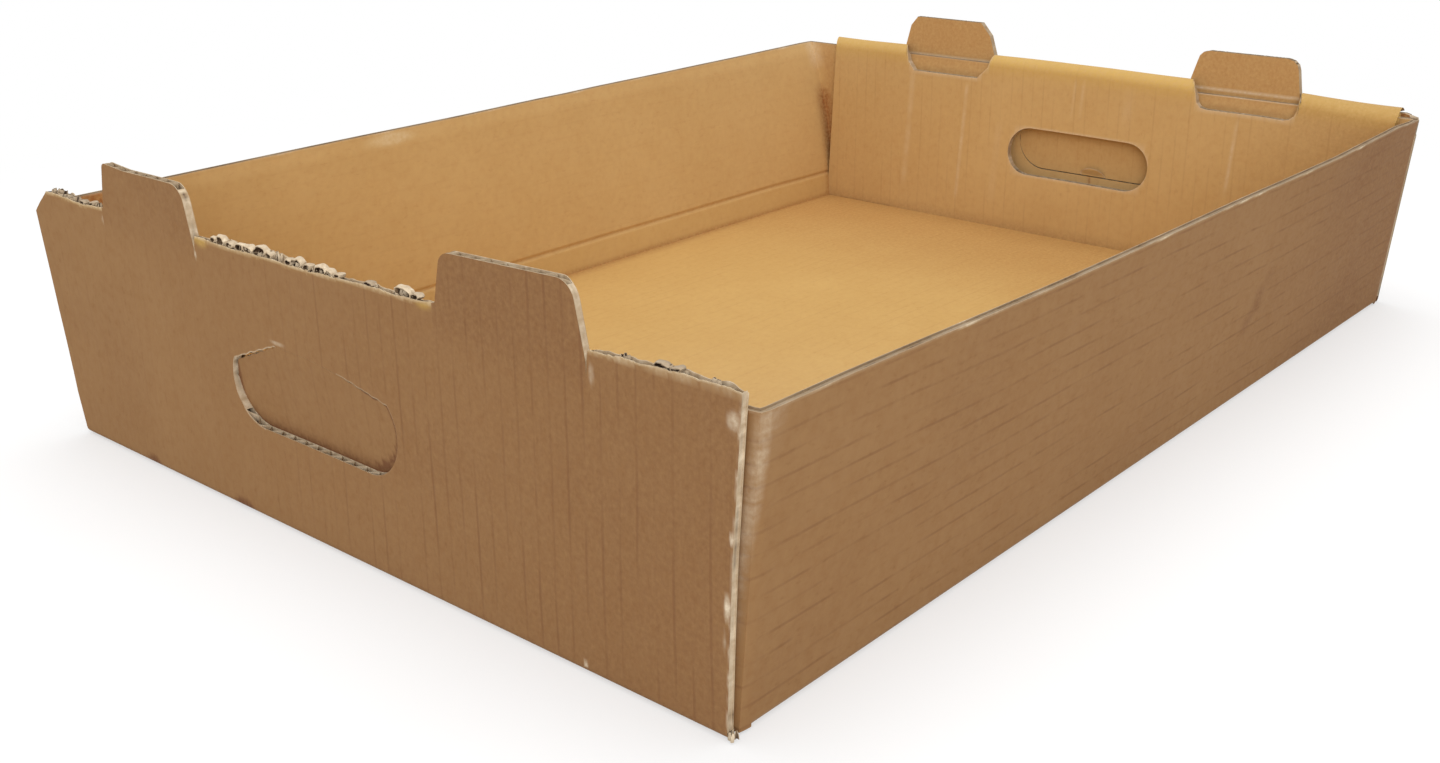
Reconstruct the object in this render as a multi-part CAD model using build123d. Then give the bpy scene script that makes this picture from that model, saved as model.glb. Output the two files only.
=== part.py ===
from build123d import *
import math
import os

# Cardboard tray box, folded from one die-cut sheet of corrugated board.
# Millimetres. X runs along the tray, Y across it, Z up. The origin is the centre of the
# underside of the floor. The near end is at -X: its inner ply has torn off along the fold.

# Board
BOARD = 4.0                     # thickness of the corrugated board
PLY_GAP = 0.75                  # air between the plies of an end wall
EDGE_GAP = 0.5                  # cut lower edges stand this far off what is below them
KERF = 0.4                      # width of a die-cut line

# Overall form
TRAY_LENGTH = 600.0             # outside, over both end walls
TRAY_WIDTH = 400.0              # outside, at the foot of the side walls
SIDE_HEIGHT = 113.0             # top of the side walls above the underside
SIDE_LEAN = 4.0                 # degrees that each side wall leans outward
FOOT_FOLD_RADIUS = 3.0          # outside radius of the folds around the floor
WALL_CREASE_HEIGHT = 19.0       # second crease along the inside of each side wall
WALL_CREASE_WIDTH = 3.0
WALL_CREASE_DEPTH = 0.6

# Corner flaps, the ends of the side walls folded in behind the end walls
CORNER_FOLD_RADIUS = 6.0        # outside radius of the upright fold at each corner
CORNER_FLAP_CLEARANCE = 3.5     # from a flap's cut end to the hand hole that reaches nearest

# End walls
END_CREASE_HEIGHT = 112.0       # where the roll-over starts, and where the stacking tabs are creased
CORNER_CUT_DROP = 7.0           # the cut corner starts this far below the crease
INNER_SIDE_CLEARANCE = 1.0      # inner ply to each side wall, at the floor
FOLD_NEUTRAL = 0.7              # depth of the neutral line in a fold, as a part of the board from inside

# Stacking tabs, and the notches that they leave in the roll-over
TAB_WIDTH = 72.0                # at the crease
TAB_RISE = 26.0                 # above the crease
TAB_TAPER = 12.0                # degrees, each side
TAB_CORNER_RADIUS = 7.0
NEAR_TAB_CENTRES = (112.5, -104.5)
FAR_TAB_CENTRES = (102.0, -106.5)
RELIEF_DEPTH = 4.0              # small cut below the crease, at the -Y foot of each near tab
RELIEF_WIDTH = 3.0

# Near end wall, torn along its roll-over
TORN_LEFT_RISE = 3.5            # above the crease, at the cut corner on the +Y side
TORN_LOW_RISE = 2.0             # lowest, beside the +Y tab
TORN_RIGHT_RISE = 9.0           # at the -Y corner
TORN_LOW_Y = 60.0               # where the torn edge is lowest
TORN_RIPPLE = 0.7               # height of the ragged flute ends along the tear
TORN_UNEVENNESS = 0.6           # slow rise and fall of the tear, as a part of the ripple
TORN_POINTS_PER_FLUTE = 2
FLUTE_PITCH = 7.8
TORN_CORNER_DROP = 10.0         # cut corner on the +Y side, measured down its side edge
TORN_CORNER_RUN = 9.4           # and along the torn edge

# Lock slots in the floor, and the lock tab below the far inner ply
LOCK_LENGTH = 280.0             # length of each slot, along Y
LOCK_CLEARANCE = 1.0            # lock tab to each end of its slot

# Hand holes
HOLE_WIDTH = 105.0
HOLE_HEIGHT = 38.0
HINGE_LENGTH = 44.0             # uncut stretch that each hand-hole flap hangs from
TEAR_DROP_LEFT = 24.0           # degrees that the torn line falls away at the hinge's +Y end
TEAR_DROP_RIGHT = 15.0          # and at its -Y end
NEAR_HOLE_CENTRE_Y = 11.0
NEAR_HOLE_BOTTOM = 42.0
NEAR_FLAP_PUSHED_IN = 8.3       # degrees
FAR_HOLE_CENTRE_Y = -7.0
FAR_HOLE_BOTTOM = 46.5
INNER_HOLE_CENTRE_Y = -2.0      # open hand hole in the far inner ply
INNER_HOLE_WIDTH = 99.0
INNER_HOLE_HEIGHT = 31.0
INNER_HOLE_BOTTOM = 43.5

# Sizes worked out from those above
HALF_LENGTH = TRAY_LENGTH / 2
HALF_WIDTH = TRAY_WIDTH / 2
LEAN_SLOPE = math.tan(math.radians(SIDE_LEAN))
OUTER_PLY_INSIDE = HALF_LENGTH - BOARD
FLAP_OUTSIDE = OUTER_PLY_INSIDE - PLY_GAP
FLAP_INSIDE = FLAP_OUTSIDE - BOARD
INNER_PLY_OUTSIDE = FLAP_INSIDE - PLY_GAP
INNER_PLY_INSIDE = INNER_PLY_OUTSIDE - BOARD
INNER_HALF_WIDTH = HALF_WIDTH - BOARD - INNER_SIDE_CLEARANCE
HOLE_REACH_Y = max(abs(NEAR_HOLE_CENTRE_Y), abs(FAR_HOLE_CENTRE_Y)) + HOLE_WIDTH / 2
CORNER_FLAP_LENGTH = HALF_WIDTH - HOLE_REACH_Y - CORNER_FLAP_CLEARANCE
ROLL_RADIUS = (HALF_LENGTH - INNER_PLY_INSIDE) / 2
ROLL_CENTRE_X = HALF_LENGTH - ROLL_RADIUS
ROLL_FOLD_LENGTH = math.pi * (ROLL_RADIUS - BOARD + FOLD_NEUTRAL * BOARD)
TAB_SLOPE = math.tan(math.radians(TAB_TAPER))
MARGIN = 10.0                   # how far a cutting tool runs past what it cuts


def side_edge_y(height):
    # Distance of an end wall's side edge from the middle: it follows the leaning side wall.
    return HALF_WIDTH + height * LEAN_SLOPE


def upright(sketch, x_low, x_high):
    # A sketch drawn in Y and Z, made into a plate between two X positions.
    return extrude(Plane.YZ.offset(x_low) * sketch, amount=x_high - x_low)


def outline(points):
    return Polygon(*points, align=None)


def mirrored_outline(centre_y, steps):
    # An outline that is the same on both sides of centre_y. Each step is (half width, height).
    right = [(centre_y + half, height) for half, height in steps]
    left = [(centre_y - half, height) for half, height in reversed(steps)]
    return outline(right + left)


def box(x_low, x_high, y_low, y_high, z_low, z_high):
    centre = Pos((x_low + x_high) / 2, (y_low + y_high) / 2, (z_low + z_high) / 2)
    return centre * Box(x_high - x_low, y_high - y_low, z_high - z_low)


def tab_half_width(from_crease):
    # Half width of a stacking tab at a distance along the board from its crease.
    return TAB_WIDTH / 2 - from_crease * TAB_SLOPE


def tab_outline(centre_y):
    # Tapered, with rounded top corners. The foot reaches down into the wall that carries it.
    tab = mirrored_outline(centre_y, [
        (tab_half_width(0), END_CREASE_HEIGHT - BOARD),
        (tab_half_width(0), END_CREASE_HEIGHT),
        (tab_half_width(TAB_RISE), END_CREASE_HEIGHT + TAB_RISE),
    ])
    return fillet(tab.vertices().sort_by(Axis.Y)[-2:], TAB_CORNER_RADIUS)


def hand_hole(centre_y, bottom):
    # Die-cut line around a hand hole's flap: round ends, and a hinge along the top with a torn
    # line that falls away on each side of it.
    top = bottom + HOLE_HEIGHT
    hole = Pos(centre_y, bottom + HOLE_HEIGHT / 2) * SlotOverall(HOLE_WIDTH, HOLE_HEIGHT)
    hinge_half = HINGE_LENGTH / 2
    reach = HOLE_WIDTH / 2 + MARGIN
    for side, drop in ((1, TEAR_DROP_LEFT), (-1, TEAR_DROP_RIGHT)):
        fall = (reach - hinge_half) * math.tan(math.radians(drop))
        hole -= outline([
            (centre_y + side * hinge_half, top),
            (centre_y + side * reach, top - fall),
            (centre_y + side * reach, top + MARGIN),
            (centre_y + side * hinge_half, top + MARGIN),
        ])
    return hole


def near_hole():
    return hand_hole(NEAR_HOLE_CENTRE_Y, NEAR_HOLE_BOTTOM)


def far_hole():
    return hand_hole(FAR_HOLE_CENTRE_Y, FAR_HOLE_BOTTOM)


def torn_height(y):
    # Height of the torn edge: lowest beside the +Y tab, rising to both corners, with a ripple
    # of broken flutes.
    if y > TORN_LOW_Y:
        corner_rise = TORN_LEFT_RISE
        share = (y - TORN_LOW_Y) / (HALF_WIDTH - TORN_LOW_Y)
    else:
        corner_rise = TORN_RIGHT_RISE
        share = (TORN_LOW_Y - y) / (TORN_LOW_Y + HALF_WIDTH)
    rise = TORN_LOW_RISE + (corner_rise - TORN_LOW_RISE) * share
    flutes = y / FLUTE_PITCH
    ripple = math.sin(2 * math.pi * flutes) + TORN_UNEVENNESS * math.sin(flutes)
    return END_CREASE_HEIGHT + rise + TORN_RIPPLE * ripple


def near_end_wall():
    # One ply that stands alone, with its tabs, torn top edge and hand hole.
    left_height = END_CREASE_HEIGHT + TORN_LEFT_RISE - TORN_CORNER_DROP
    left_y = side_edge_y(left_height)
    right_height = END_CREASE_HEIGHT + TORN_RIGHT_RISE
    right_y = -side_edge_y(right_height)
    torn_from_y = left_y - TORN_CORNER_RUN
    step = FLUTE_PITCH / TORN_POINTS_PER_FLUTE
    torn_y = [torn_from_y - k * step for k in range(int((torn_from_y - right_y) / step) + 1)]
    wall = outline(
        [(-HALF_WIDTH, 0), (HALF_WIDTH, 0), (left_y, left_height)]
        + [(y, torn_height(y)) for y in torn_y]
        + [(right_y, right_height)]
    )
    for centre_y in NEAR_TAB_CENTRES:
        foot_y = centre_y - tab_half_width(0)
        cut_top = END_CREASE_HEIGHT + TAB_RISE
        wall -= outline([
            (foot_y - RELIEF_WIDTH, cut_top),
            (foot_y, END_CREASE_HEIGHT - RELIEF_DEPTH),
            (foot_y, cut_top),
        ])
        wall += tab_outline(centre_y)
    return upright(wall - near_hole(), -HALF_LENGTH, -OUTER_PLY_INSIDE)


def far_outer_ply():
    # Outer ply of the whole end, up to the crease, with the tabs standing on above it.
    corner_height = END_CREASE_HEIGHT - CORNER_CUT_DROP
    wall = mirrored_outline(0, [
        (HALF_WIDTH, 0),
        (side_edge_y(corner_height), corner_height),
        (INNER_HALF_WIDTH, END_CREASE_HEIGHT),
    ])
    for centre_y in FAR_TAB_CENTRES:
        wall += tab_outline(centre_y)
    return upright(wall - far_hole(), OUTER_PLY_INSIDE, HALF_LENGTH)


def inner_ply():
    # Hangs from the roll, down into the lock slot, with an open hand hole.
    lock_half = LOCK_LENGTH / 2 - LOCK_CLEARANCE
    ply = mirrored_outline(0, [
        (lock_half, EDGE_GAP),
        (lock_half, BOARD + EDGE_GAP),
        (INNER_HALF_WIDTH, BOARD + EDGE_GAP),
        (INNER_HALF_WIDTH, END_CREASE_HEIGHT),
    ])
    hole_centre = Pos(INNER_HOLE_CENTRE_Y, INNER_HOLE_BOTTOM + INNER_HOLE_HEIGHT / 2)
    ply -= hole_centre * SlotOverall(INNER_HOLE_WIDTH, INNER_HOLE_HEIGHT)
    return upright(ply, INNER_PLY_INSIDE, INNER_PLY_OUTSIDE)


def roll():
    # Half round, from the outer ply over to the inner one.
    ring = Circle(ROLL_RADIUS) - Circle(ROLL_RADIUS - BOARD)
    ring -= Pos(0, -ROLL_RADIUS) * Rectangle(4 * ROLL_RADIUS, 2 * ROLL_RADIUS)
    start = Plane(
        origin=(ROLL_CENTRE_X, -INNER_HALF_WIDTH, END_CREASE_HEIGHT),
        x_dir=(-1, 0, 0),
        z_dir=(0, 1, 0),
    )
    return extrude(start * ring, amount=2 * INNER_HALF_WIDTH)


def tab_notch(centre_y):
    # What a stacking tab leaves open as the board around it turns over the roll and down the
    # inner ply: the tab's own outline, measured along the board from the crease.
    crest = END_CREASE_HEIGHT + ROLL_RADIUS + KERF
    at_crest = tab_half_width(ROLL_FOLD_LENGTH / 2) + KERF
    foot = END_CREASE_HEIGHT - (TAB_RISE - ROLL_FOLD_LENGTH)
    outer = mirrored_outline(centre_y, [
        (tab_half_width(0) + KERF, END_CREASE_HEIGHT),
        (at_crest, crest),
    ])
    inner = mirrored_outline(centre_y, [
        (tab_half_width(TAB_RISE) + KERF, foot),
        (tab_half_width(ROLL_FOLD_LENGTH) + KERF, END_CREASE_HEIGHT),
        (at_crest, crest),
    ])
    inner = fillet(inner.vertices().sort_by(Axis.Y)[:2], TAB_CORNER_RADIUS)
    return (
        upright(outer, ROLL_CENTRE_X, HALF_LENGTH + MARGIN),
        upright(inner, INNER_PLY_INSIDE - MARGIN, ROLL_CENTRE_X),
    )


def far_roll_over():
    sheet = roll() + inner_ply()
    for centre_y in FAR_TAB_CENTRES:
        for cut in tab_notch(centre_y):
            sheet -= cut
    return sheet


def side_wall(side):
    # A side wall with its two corner flaps: a U in plan, carried up along the wall's lean, so
    # the wall leans out and the flaps stay square to the tray.
    middle = side * (HALF_WIDTH - CORNER_FLAP_LENGTH / 2)
    plan = Pos(0, middle) * Rectangle(2 * FLAP_OUTSIDE, CORNER_FLAP_LENGTH)
    plan -= Pos(0, middle - side * BOARD) * Rectangle(2 * FLAP_INSIDE, CORNER_FLAP_LENGTH)
    inner_corners = plan.vertices().sort_by(Axis.Y, reverse=side < 0)[-4:-2]
    plan = fillet(inner_corners, CORNER_FOLD_RADIUS - BOARD)
    outer_corners = plan.vertices().sort_by(Axis.Y, reverse=side < 0)[-2:]
    plan = fillet(outer_corners, CORNER_FOLD_RADIUS)
    lean = Vector(0, side * LEAN_SLOPE, 1).normalized()
    wall = extrude(plan, amount=SIDE_HEIGHT / lean.Z, dir=lean)
    for end in (-1, 1):
        wall -= cut_below_corner_flap(side, end)
    return wall - wall_crease(side)


def cut_below_corner_flap(side, end):
    # A corner flap is cut free of the floor along its lower edge.
    x_span = sorted((end * (FLAP_INSIDE - EDGE_GAP), end * (FLAP_OUTSIDE + EDGE_GAP)))
    fold_y = HALF_WIDTH - BOARD - CORNER_FOLD_RADIUS
    y_span = sorted((side * (HALF_WIDTH - CORNER_FLAP_LENGTH - MARGIN), side * fold_y))
    return box(*x_span, *y_span, BOARD, BOARD + EDGE_GAP)


def wall_crease(side):
    # The groove of the second crease, pressed into the inside of a side wall.
    face_y = side * (HALF_WIDTH - BOARD + WALL_CREASE_HEIGHT * LEAN_SLOPE)
    half_width = WALL_CREASE_WIDTH / 2
    groove = outline([
        (face_y - side * BOARD, WALL_CREASE_HEIGHT - half_width),
        (face_y, WALL_CREASE_HEIGHT - half_width),
        (face_y + side * WALL_CREASE_DEPTH, WALL_CREASE_HEIGHT),
        (face_y, WALL_CREASE_HEIGHT + half_width),
        (face_y - side * BOARD, WALL_CREASE_HEIGHT + half_width),
    ])
    reach = FLAP_OUTSIDE - CORNER_FOLD_RADIUS
    return upright(groove, -reach, reach)


def lock_slot(end):
    # Slot through the floor along an end fold, from the outer ply to the inner ply's far face.
    x_span = sorted((end * INNER_PLY_INSIDE, end * OUTER_PLY_INSIDE))
    half = LOCK_LENGTH / 2
    return box(*x_span, -half, half, -MARGIN, BOARD + EDGE_GAP)


def round_foot_folds(sheet):
    # Take away the sharp corners below the rounded folds around the floor.
    across = mirrored_outline(0, [
        (HALF_WIDTH, 0),
        (side_edge_y(END_CREASE_HEIGHT), END_CREASE_HEIGHT),
    ])
    along = mirrored_outline(0, [(HALF_LENGTH, 0), (HALF_LENGTH, END_CREASE_HEIGHT)])
    for section, plane, length in (
        (across, Plane.YZ.offset(-HALF_LENGTH - MARGIN), TRAY_LENGTH + 2 * MARGIN),
        (along, Plane.XZ.offset(-HALF_WIDTH - MARGIN), TRAY_WIDTH + 2 * MARGIN),
    ):
        rounded = fillet(section.vertices().sort_by(Axis.Y)[:2], FOOT_FOLD_RADIUS)
        for corner in (section - rounded).faces():
            sheet -= extrude(plane * corner, amount=length)
    return sheet


def tray_sheet():
    floor = box(-HALF_LENGTH, HALF_LENGTH, -HALF_WIDTH, HALF_WIDTH, 0, BOARD)
    sheet = floor + side_wall(-1) + side_wall(1)
    for end in (-1, 1):
        sheet -= lock_slot(end)
    sheet += near_end_wall()
    sheet += far_outer_ply() + far_roll_over()
    return round_foot_folds(sheet)


def near_hand_hole_flap():
    # One cut line smaller than its hole, and pushed a little into the tray. It turns on the
    # wall's inner face, along the top of the hole.
    flap = upright(offset(near_hole(), amount=-KERF), -HALF_LENGTH, -OUTER_PLY_INSIDE)
    hinge = Axis((-OUTER_PLY_INSIDE, 0, NEAR_HOLE_BOTTOM + HOLE_HEIGHT), (0, -1, 0))
    return flap.rotate(hinge, NEAR_FLAP_PUSHED_IN)


def far_hand_hole_flap():
    # Flush in the outer ply.
    return upright(offset(far_hole(), amount=-KERF), OUTER_PLY_INSIDE, HALF_LENGTH)


os.makedirs("parts", exist_ok=True)
for make in (tray_sheet, near_hand_hole_flap, far_hand_hole_flap):
    export_step(make(), f"parts/{make.__name__}.step")
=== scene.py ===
import math
import random

import bpy
from mathutils import Matrix, Vector, noise


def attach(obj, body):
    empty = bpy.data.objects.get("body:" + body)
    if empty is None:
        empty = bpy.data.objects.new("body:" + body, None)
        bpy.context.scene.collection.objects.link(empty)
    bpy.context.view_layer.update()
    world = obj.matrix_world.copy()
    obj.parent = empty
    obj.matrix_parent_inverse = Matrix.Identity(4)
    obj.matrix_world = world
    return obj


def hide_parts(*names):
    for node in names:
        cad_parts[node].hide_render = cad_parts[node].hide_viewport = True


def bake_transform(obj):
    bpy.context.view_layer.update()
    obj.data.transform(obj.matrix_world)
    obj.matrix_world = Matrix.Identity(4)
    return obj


# Cardboard tray box. All lengths below are millimetres and become metres when a mesh is made.
# Each panel of board is two liners with a fluted layer between them, cut by the same outline.
# u runs across the flutes, v along them, and w is the depth into the board from its outer face.

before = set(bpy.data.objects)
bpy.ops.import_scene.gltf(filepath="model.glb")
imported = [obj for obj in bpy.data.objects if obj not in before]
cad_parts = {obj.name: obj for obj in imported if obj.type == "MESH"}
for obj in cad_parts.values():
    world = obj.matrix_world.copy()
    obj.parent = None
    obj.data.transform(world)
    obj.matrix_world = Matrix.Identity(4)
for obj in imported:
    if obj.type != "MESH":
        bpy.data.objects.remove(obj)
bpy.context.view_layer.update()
MM = 0.001

# Board
BOARD = 4.0
LINER = 0.42
FLUTE_PITCH = 7.8
FLUTE_STEP = FLUTE_PITCH / 8            # spacing of the columns across the flutes
FLUTE_HEIGHT = (BOARD - 2 * LINER) / 2
DETAIL_DEPTH = 12.0                     # how far in from a cut edge the flutes are modelled
DETAIL_ROWS = (0.0, 0.06, 0.15, 0.3, 1.0)
QUARTERS = (0.0, 0.25, 0.5, 0.75, 1.0)
ROW_STEP = 12.0
RIM = 0.7                               # width of the band of faces beside a cut
CUT_SHADOW = 0.9                        # how dark it gets between the liners
SHADOW_DEPTH = 4.0                      # how far behind a cut it is that dark
NEAR_PHASE = 0.1                        # where the flutes start, as a share of their pitch
FAR_PHASE = 0.3

# Tray, as in the solid model
HALF_LENGTH = 300.0
HALF_WIDTH = 200.0
SIDE_HEIGHT = 113.0
SIDE_SLOPE = math.tan(math.radians(4.0))
FOOT_RADIUS = 3.0
FOOT_STEPS = 5
CREASE_Z = 112.0
PLY_GAP = 0.75
FLAP_FACE = HALF_LENGTH - BOARD - PLY_GAP
ROLL_RADIUS = (3 * BOARD + 2 * PLY_GAP) / 2
ROLL_LENGTH = math.pi * (ROLL_RADIUS - 0.3 * BOARD)
CORNER_RADIUS = 6.0
FLAP_END_Y = 67.0
WALL_CREASE_Z = 21.0
LOCK_HALF = 140.0                       # half the length of a lock slot in the floor

# Stacking tabs
TAB_RISE = 26.0
TAB_ARC_STEPS = 6
TAB_SLANT_STOPS = 8
TAB_SLANT_STEP = 0.6
NEAR_TAB_RUN = 5.5                      # how far each slanted side comes in

# Hand holes
HOLE_WIDTH = 105.0
HOLE_HEIGHT = 38.0
NEAR_HOLE_Y = 11.0
NEAR_HOLE_Z = 42.0
FAR_HOLE_Y = -7.0
FAR_HOLE_Z = 46.5
KERF = 0.4
PUSHED_IN = math.radians(5.2)           # as bent board; its hinge is turned by 8.3 degrees

# The hole in the far end's inner ply, before that ply's shift
INNER_HOLE_Y = 0.9
INNER_HOLE_Z = 43.3
INNER_HOLE_WIDTH = 100.5
INNER_HOLE_HEIGHT = 31.5


def clamp(x):
    return max(0.0, min(1.0, x))


def ease(x):
    x = clamp(x)
    return x * x * (3 - 2 * x)


def along(points, x):
    # Straight-line reading between (x, value) points in rising x.
    if x <= points[0][0]:
        return points[0][1]
    for (x0, y0), (x1, y1) in zip(points, points[1:]):
        if x <= x1:
            return y0 + (y1 - y0) * (x - x0) / (x1 - x0)
    return points[-1][1]


def rough(x, y, seed):
    return noise.noise(Vector((x, y, seed)))


def spot(u, v, centre_u, centre_v, reach_u, reach_v):
    # A soft oval patch, 1 at its centre and 0 at its reach.
    away = math.hypot((u - centre_u) / reach_u, (v - centre_v) / reach_v)
    return ease(1.5 * (1 - away))


def stops(low, high, step, *extra):
    # Column or row positions from low to high, with extra ones where a shape turns.
    count = max(1, round((high - low) / step))
    found = {round(low + (high - low) * k / count, 3) for k in range(count + 1)}
    found |= {round(x, 3) for x in extra if low < x < high}
    return sorted(found)


def hole_stops(centre, width, height):
    # Columns that follow the two round ends of a hole.
    radius = height / 2
    found = []
    for middle in (centre + width / 2 - radius, centre - width / 2 + radius):
        found += [middle + radius * math.sin(math.radians(a)) for a in range(-90, 91, 9)]
    return found


class Sheet:
    """One mesh, gathered in millimetres: points, faces, what each face is, and its marks.

    The marks of a point are how pale, dark, golden and lined the board is there, painted shade and
    highlight among them.
    """

    OUTER, INNER, CORE, ROLL = 0, 1, 2, 3

    def __init__(self):
        self.points = []
        self.marks = []
        self.faces = []
        self.kinds = []
        self.known = {}

    def point(self, key, place, mark):
        if key not in self.known:
            self.known[key] = len(self.points)
            self.points.append(place)
            self.marks.append(mark)
        return self.known[key]

    def face(self, corners, kind):
        loop = [c for k, c in enumerate(corners) if c != corners[k - 1]]
        if len(set(loop)) > 2:
            self.faces.append(loop)
            self.kinds.append(kind)


def not_crushed(u, v):
    return 0.0


def all_outside(v):
    return Sheet.OUTER


def liner_depths(layer):
    # The face of a liner, and its back against the flutes.
    return (0.0, LINER) if layer == "outer" else (BOARD, BOARD - LINER)


class Board:
    """A panel of corrugated board, added to a sheet column by column.

    At each u, spans gives the panel's stretches as pairs of edges, which are functions of u and
    the layer. place and marks give a point's position and marks, and crush how flat the flutes
    are. A shade above 0 darkens the cut edges, and one below 0 makes them paler.
    """

    STEEP = 0.9                         # a cut steeper than this runs along the flutes and is closed

    def __init__(
            self, sheet, tag, columns, rows, spans, place, marks,
            phase=0.0, crush=not_crushed, outer_kind=all_outside, recess=0.3, shade=0.0, open_share=1.0):
        self.sheet = sheet
        self.tag = tag
        self.spans = spans
        self.place = place
        self.marks = marks
        self.rows = rows
        self.phase = phase
        self.crush = crush
        self.outer_kind = outer_kind
        self.recess = recess                # how deep the crushed sides lie between their liners
        self.shade = shade
        self.open_share = open_share        # and how dark they are along their middle
        cover = [self.cell(u0, u1) for u0, u1 in zip(columns, columns[1:])]
        self.side_edges(columns, cover)

    def key(self, u, v, w):
        return (self.tag, round(u, 3), round(v, 3), round(w, 3))

    def at(self, u, v, w):
        # A point on the board's outer or inner face.
        key = self.key(u, v, w)
        if key in self.sheet.known:
            return self.sheet.known[key]
        return self.sheet.point(key, self.place(u, v, w), self.marks(u, v, w))

    def core(self, u, v, w, depth=0.0):
        # A point between the liners, darker the deeper it lies behind the cut.
        dark = max(self.shade, CUT_SHADOW * ease(depth / SHADOW_DEPTH))
        pale = max(0.0, 0.30 + 0.5 * rough(u / 2.0, v / 2.0, 17.0)) * (1 - self.shade)
        return self.sheet.point(self.key(u, v, w), self.place(u, v, w), (pale, dark, 0.0, 0.0))

    def crushed(self, u, v, w, t):
        # A point on the crushed side of the board, in shadow along its middle.
        middle = 1 - abs(2 * t - 1)
        open_here = self.open_share * clamp(0.25 + 2.4 * rough(u / 4 + 5, v / 12, 23.0))
        return self.core(u, v, w, max(self.shade, middle * open_here) * SHADOW_DEPTH)

    def crushed_row(self, u, front, back):
        # Points through the board, from the outer liner's cut at front to the inner one's at back.
        depth = BOARD - 2 * LINER
        return [self.crushed(u, front + (back - front) * t, LINER + depth * t, t) for t in QUARTERS]

    def flute(self, u, v):
        wave = math.cos(2 * math.pi * (u / FLUTE_PITCH + self.phase))
        return BOARD / 2 + FLUTE_HEIGHT * wave * (1 - self.crush(u, v))

    def quad(self, a, b, c, d, kind):
        self.sheet.face([a, b, c, d], kind)

    def strip(self, front, back):
        for a, b, c, d in zip(front, front[1:], back[1:], back):
            self.quad(a, b, c, d, Sheet.CORE)

    def levels(self, low0, low1, high0, high1):
        # Rows from cut to cut, with a narrow band beside each cut.
        low, high = max(low0, low1), min(high0, high1)
        rim = RIM if high - low > 4 * RIM else (high - low) / 4
        inside = [r for r in self.rows if low + 1.5 * rim < r < high - 1.5 * rim]
        if high <= low:
            return [low0, high0], [low1, high1]
        left = [low0, low0 + rim, *inside, high0 - rim, high0]
        right = [low1, low1 + rim, *inside, high1 - rim, high1]
        return left, right

    def cell(self, u0, u1):
        cover = []
        for low, high in self.spans((u0 + u1) / 2):
            for layer in ("outer", "inner"):
                ends = [low(u0, layer), low(u1, layer), high(u0, layer), high(u1, layer)]
                if ends[0] < ends[2] or ends[1] < ends[3]:
                    self.liner(u0, u1, *self.levels(*ends), layer)
            self.medium(u0, u1, low, high)
            for edge in (low, high):
                self.close_steep(u0, u1, edge)
            cover.append((low, high))
        return cover

    def liner(self, u0, u1, left, right, layer):
        face_w, back_w = liner_depths(layer)
        for (a0, b0), (a1, b1) in zip(zip(left, left[1:]), zip(right, right[1:])):
            kind = self.outer_kind((a0 + b0) / 2) if layer == "outer" else Sheet.INNER
            self.quad(
                self.at(u0, a0, face_w), self.at(u1, a1, face_w),
                self.at(u1, b1, face_w), self.at(u0, b0, face_w), kind)
        back_depth = DETAIL_DEPTH / 2
        for sign, k in ((1, 0), (-1, -1)):
            v0, v1 = left[k], right[k]
            self.quad(
                self.at(u0, v0, face_w), self.at(u1, v1, face_w),
                self.core(u1, v1, back_w), self.core(u0, v0, back_w), Sheet.CORE)
            in0 = v0 + sign * min(back_depth, (left[-1] - left[0]) / 2)
            in1 = v1 + sign * min(back_depth, (right[-1] - right[0]) / 2)
            self.quad(
                self.core(u0, v0, back_w), self.core(u1, v1, back_w),
                self.core(u1, in1, back_w, back_depth), self.core(u0, in0, back_w, back_depth), Sheet.CORE)

    def medium(self, u0, u1, low, high):
        ends = [low(u0, "medium"), low(u1, "medium"), high(u0, "medium"), high(u1, "medium")]
        if ends[0] >= ends[2] or ends[1] >= ends[3]:
            return
        reach0 = min(DETAIL_DEPTH, (ends[2] - ends[0]) / 2)
        reach1 = min(DETAIL_DEPTH, (ends[3] - ends[1]) / 2)
        for sign, v0, v1 in ((1, ends[0], ends[1]), (-1, ends[2], ends[3])):
            for s, t in zip(DETAIL_ROWS, DETAIL_ROWS[1:]):
                corners = [
                    (u0, v0 + sign * s * reach0, s), (u1, v1 + sign * s * reach1, s),
                    (u1, v1 + sign * t * reach1, t), (u0, v0 + sign * t * reach0, t)]
                points = [self.core(u, v, self.flute(u, v), DETAIL_DEPTH * d) for u, v, d in corners]
                self.quad(*points, Sheet.CORE)

    def close_steep(self, u0, u1, edge):
        if abs(edge(u1, "outer") - edge(u0, "outer")) < self.STEEP * (u1 - u0):
            return
        rows = [self.crushed_row(u, edge(u, "outer"), edge(u, "inner")) for u in (u0, u1)]
        self.strip(*rows)

    def side_edges(self, columns, cover):
        # Close the board where a panel starts, stops or steps at a column.
        cover = [[], *cover, []]
        for k, u in enumerate(columns):
            for layer in ("outer", "inner"):
                left = [(low(u, layer), high(u, layer)) for low, high in cover[k]]
                right = [(low(u, layer), high(u, layer)) for low, high in cover[k + 1]]
                cuts = sorted({round(v, 3) for span in left + right for v in span})
                for v0, v1 in zip(cuts, cuts[1:]):
                    mid = (v0 + v1) / 2
                    here = [any(a < mid < b for a, b in spans) for spans in (left, right)]
                    if here[0] != here[1] and v1 - v0 > 0.01:
                        self.side_edge(u, v0, v1, layer, 1 if here[1] else -1)

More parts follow.
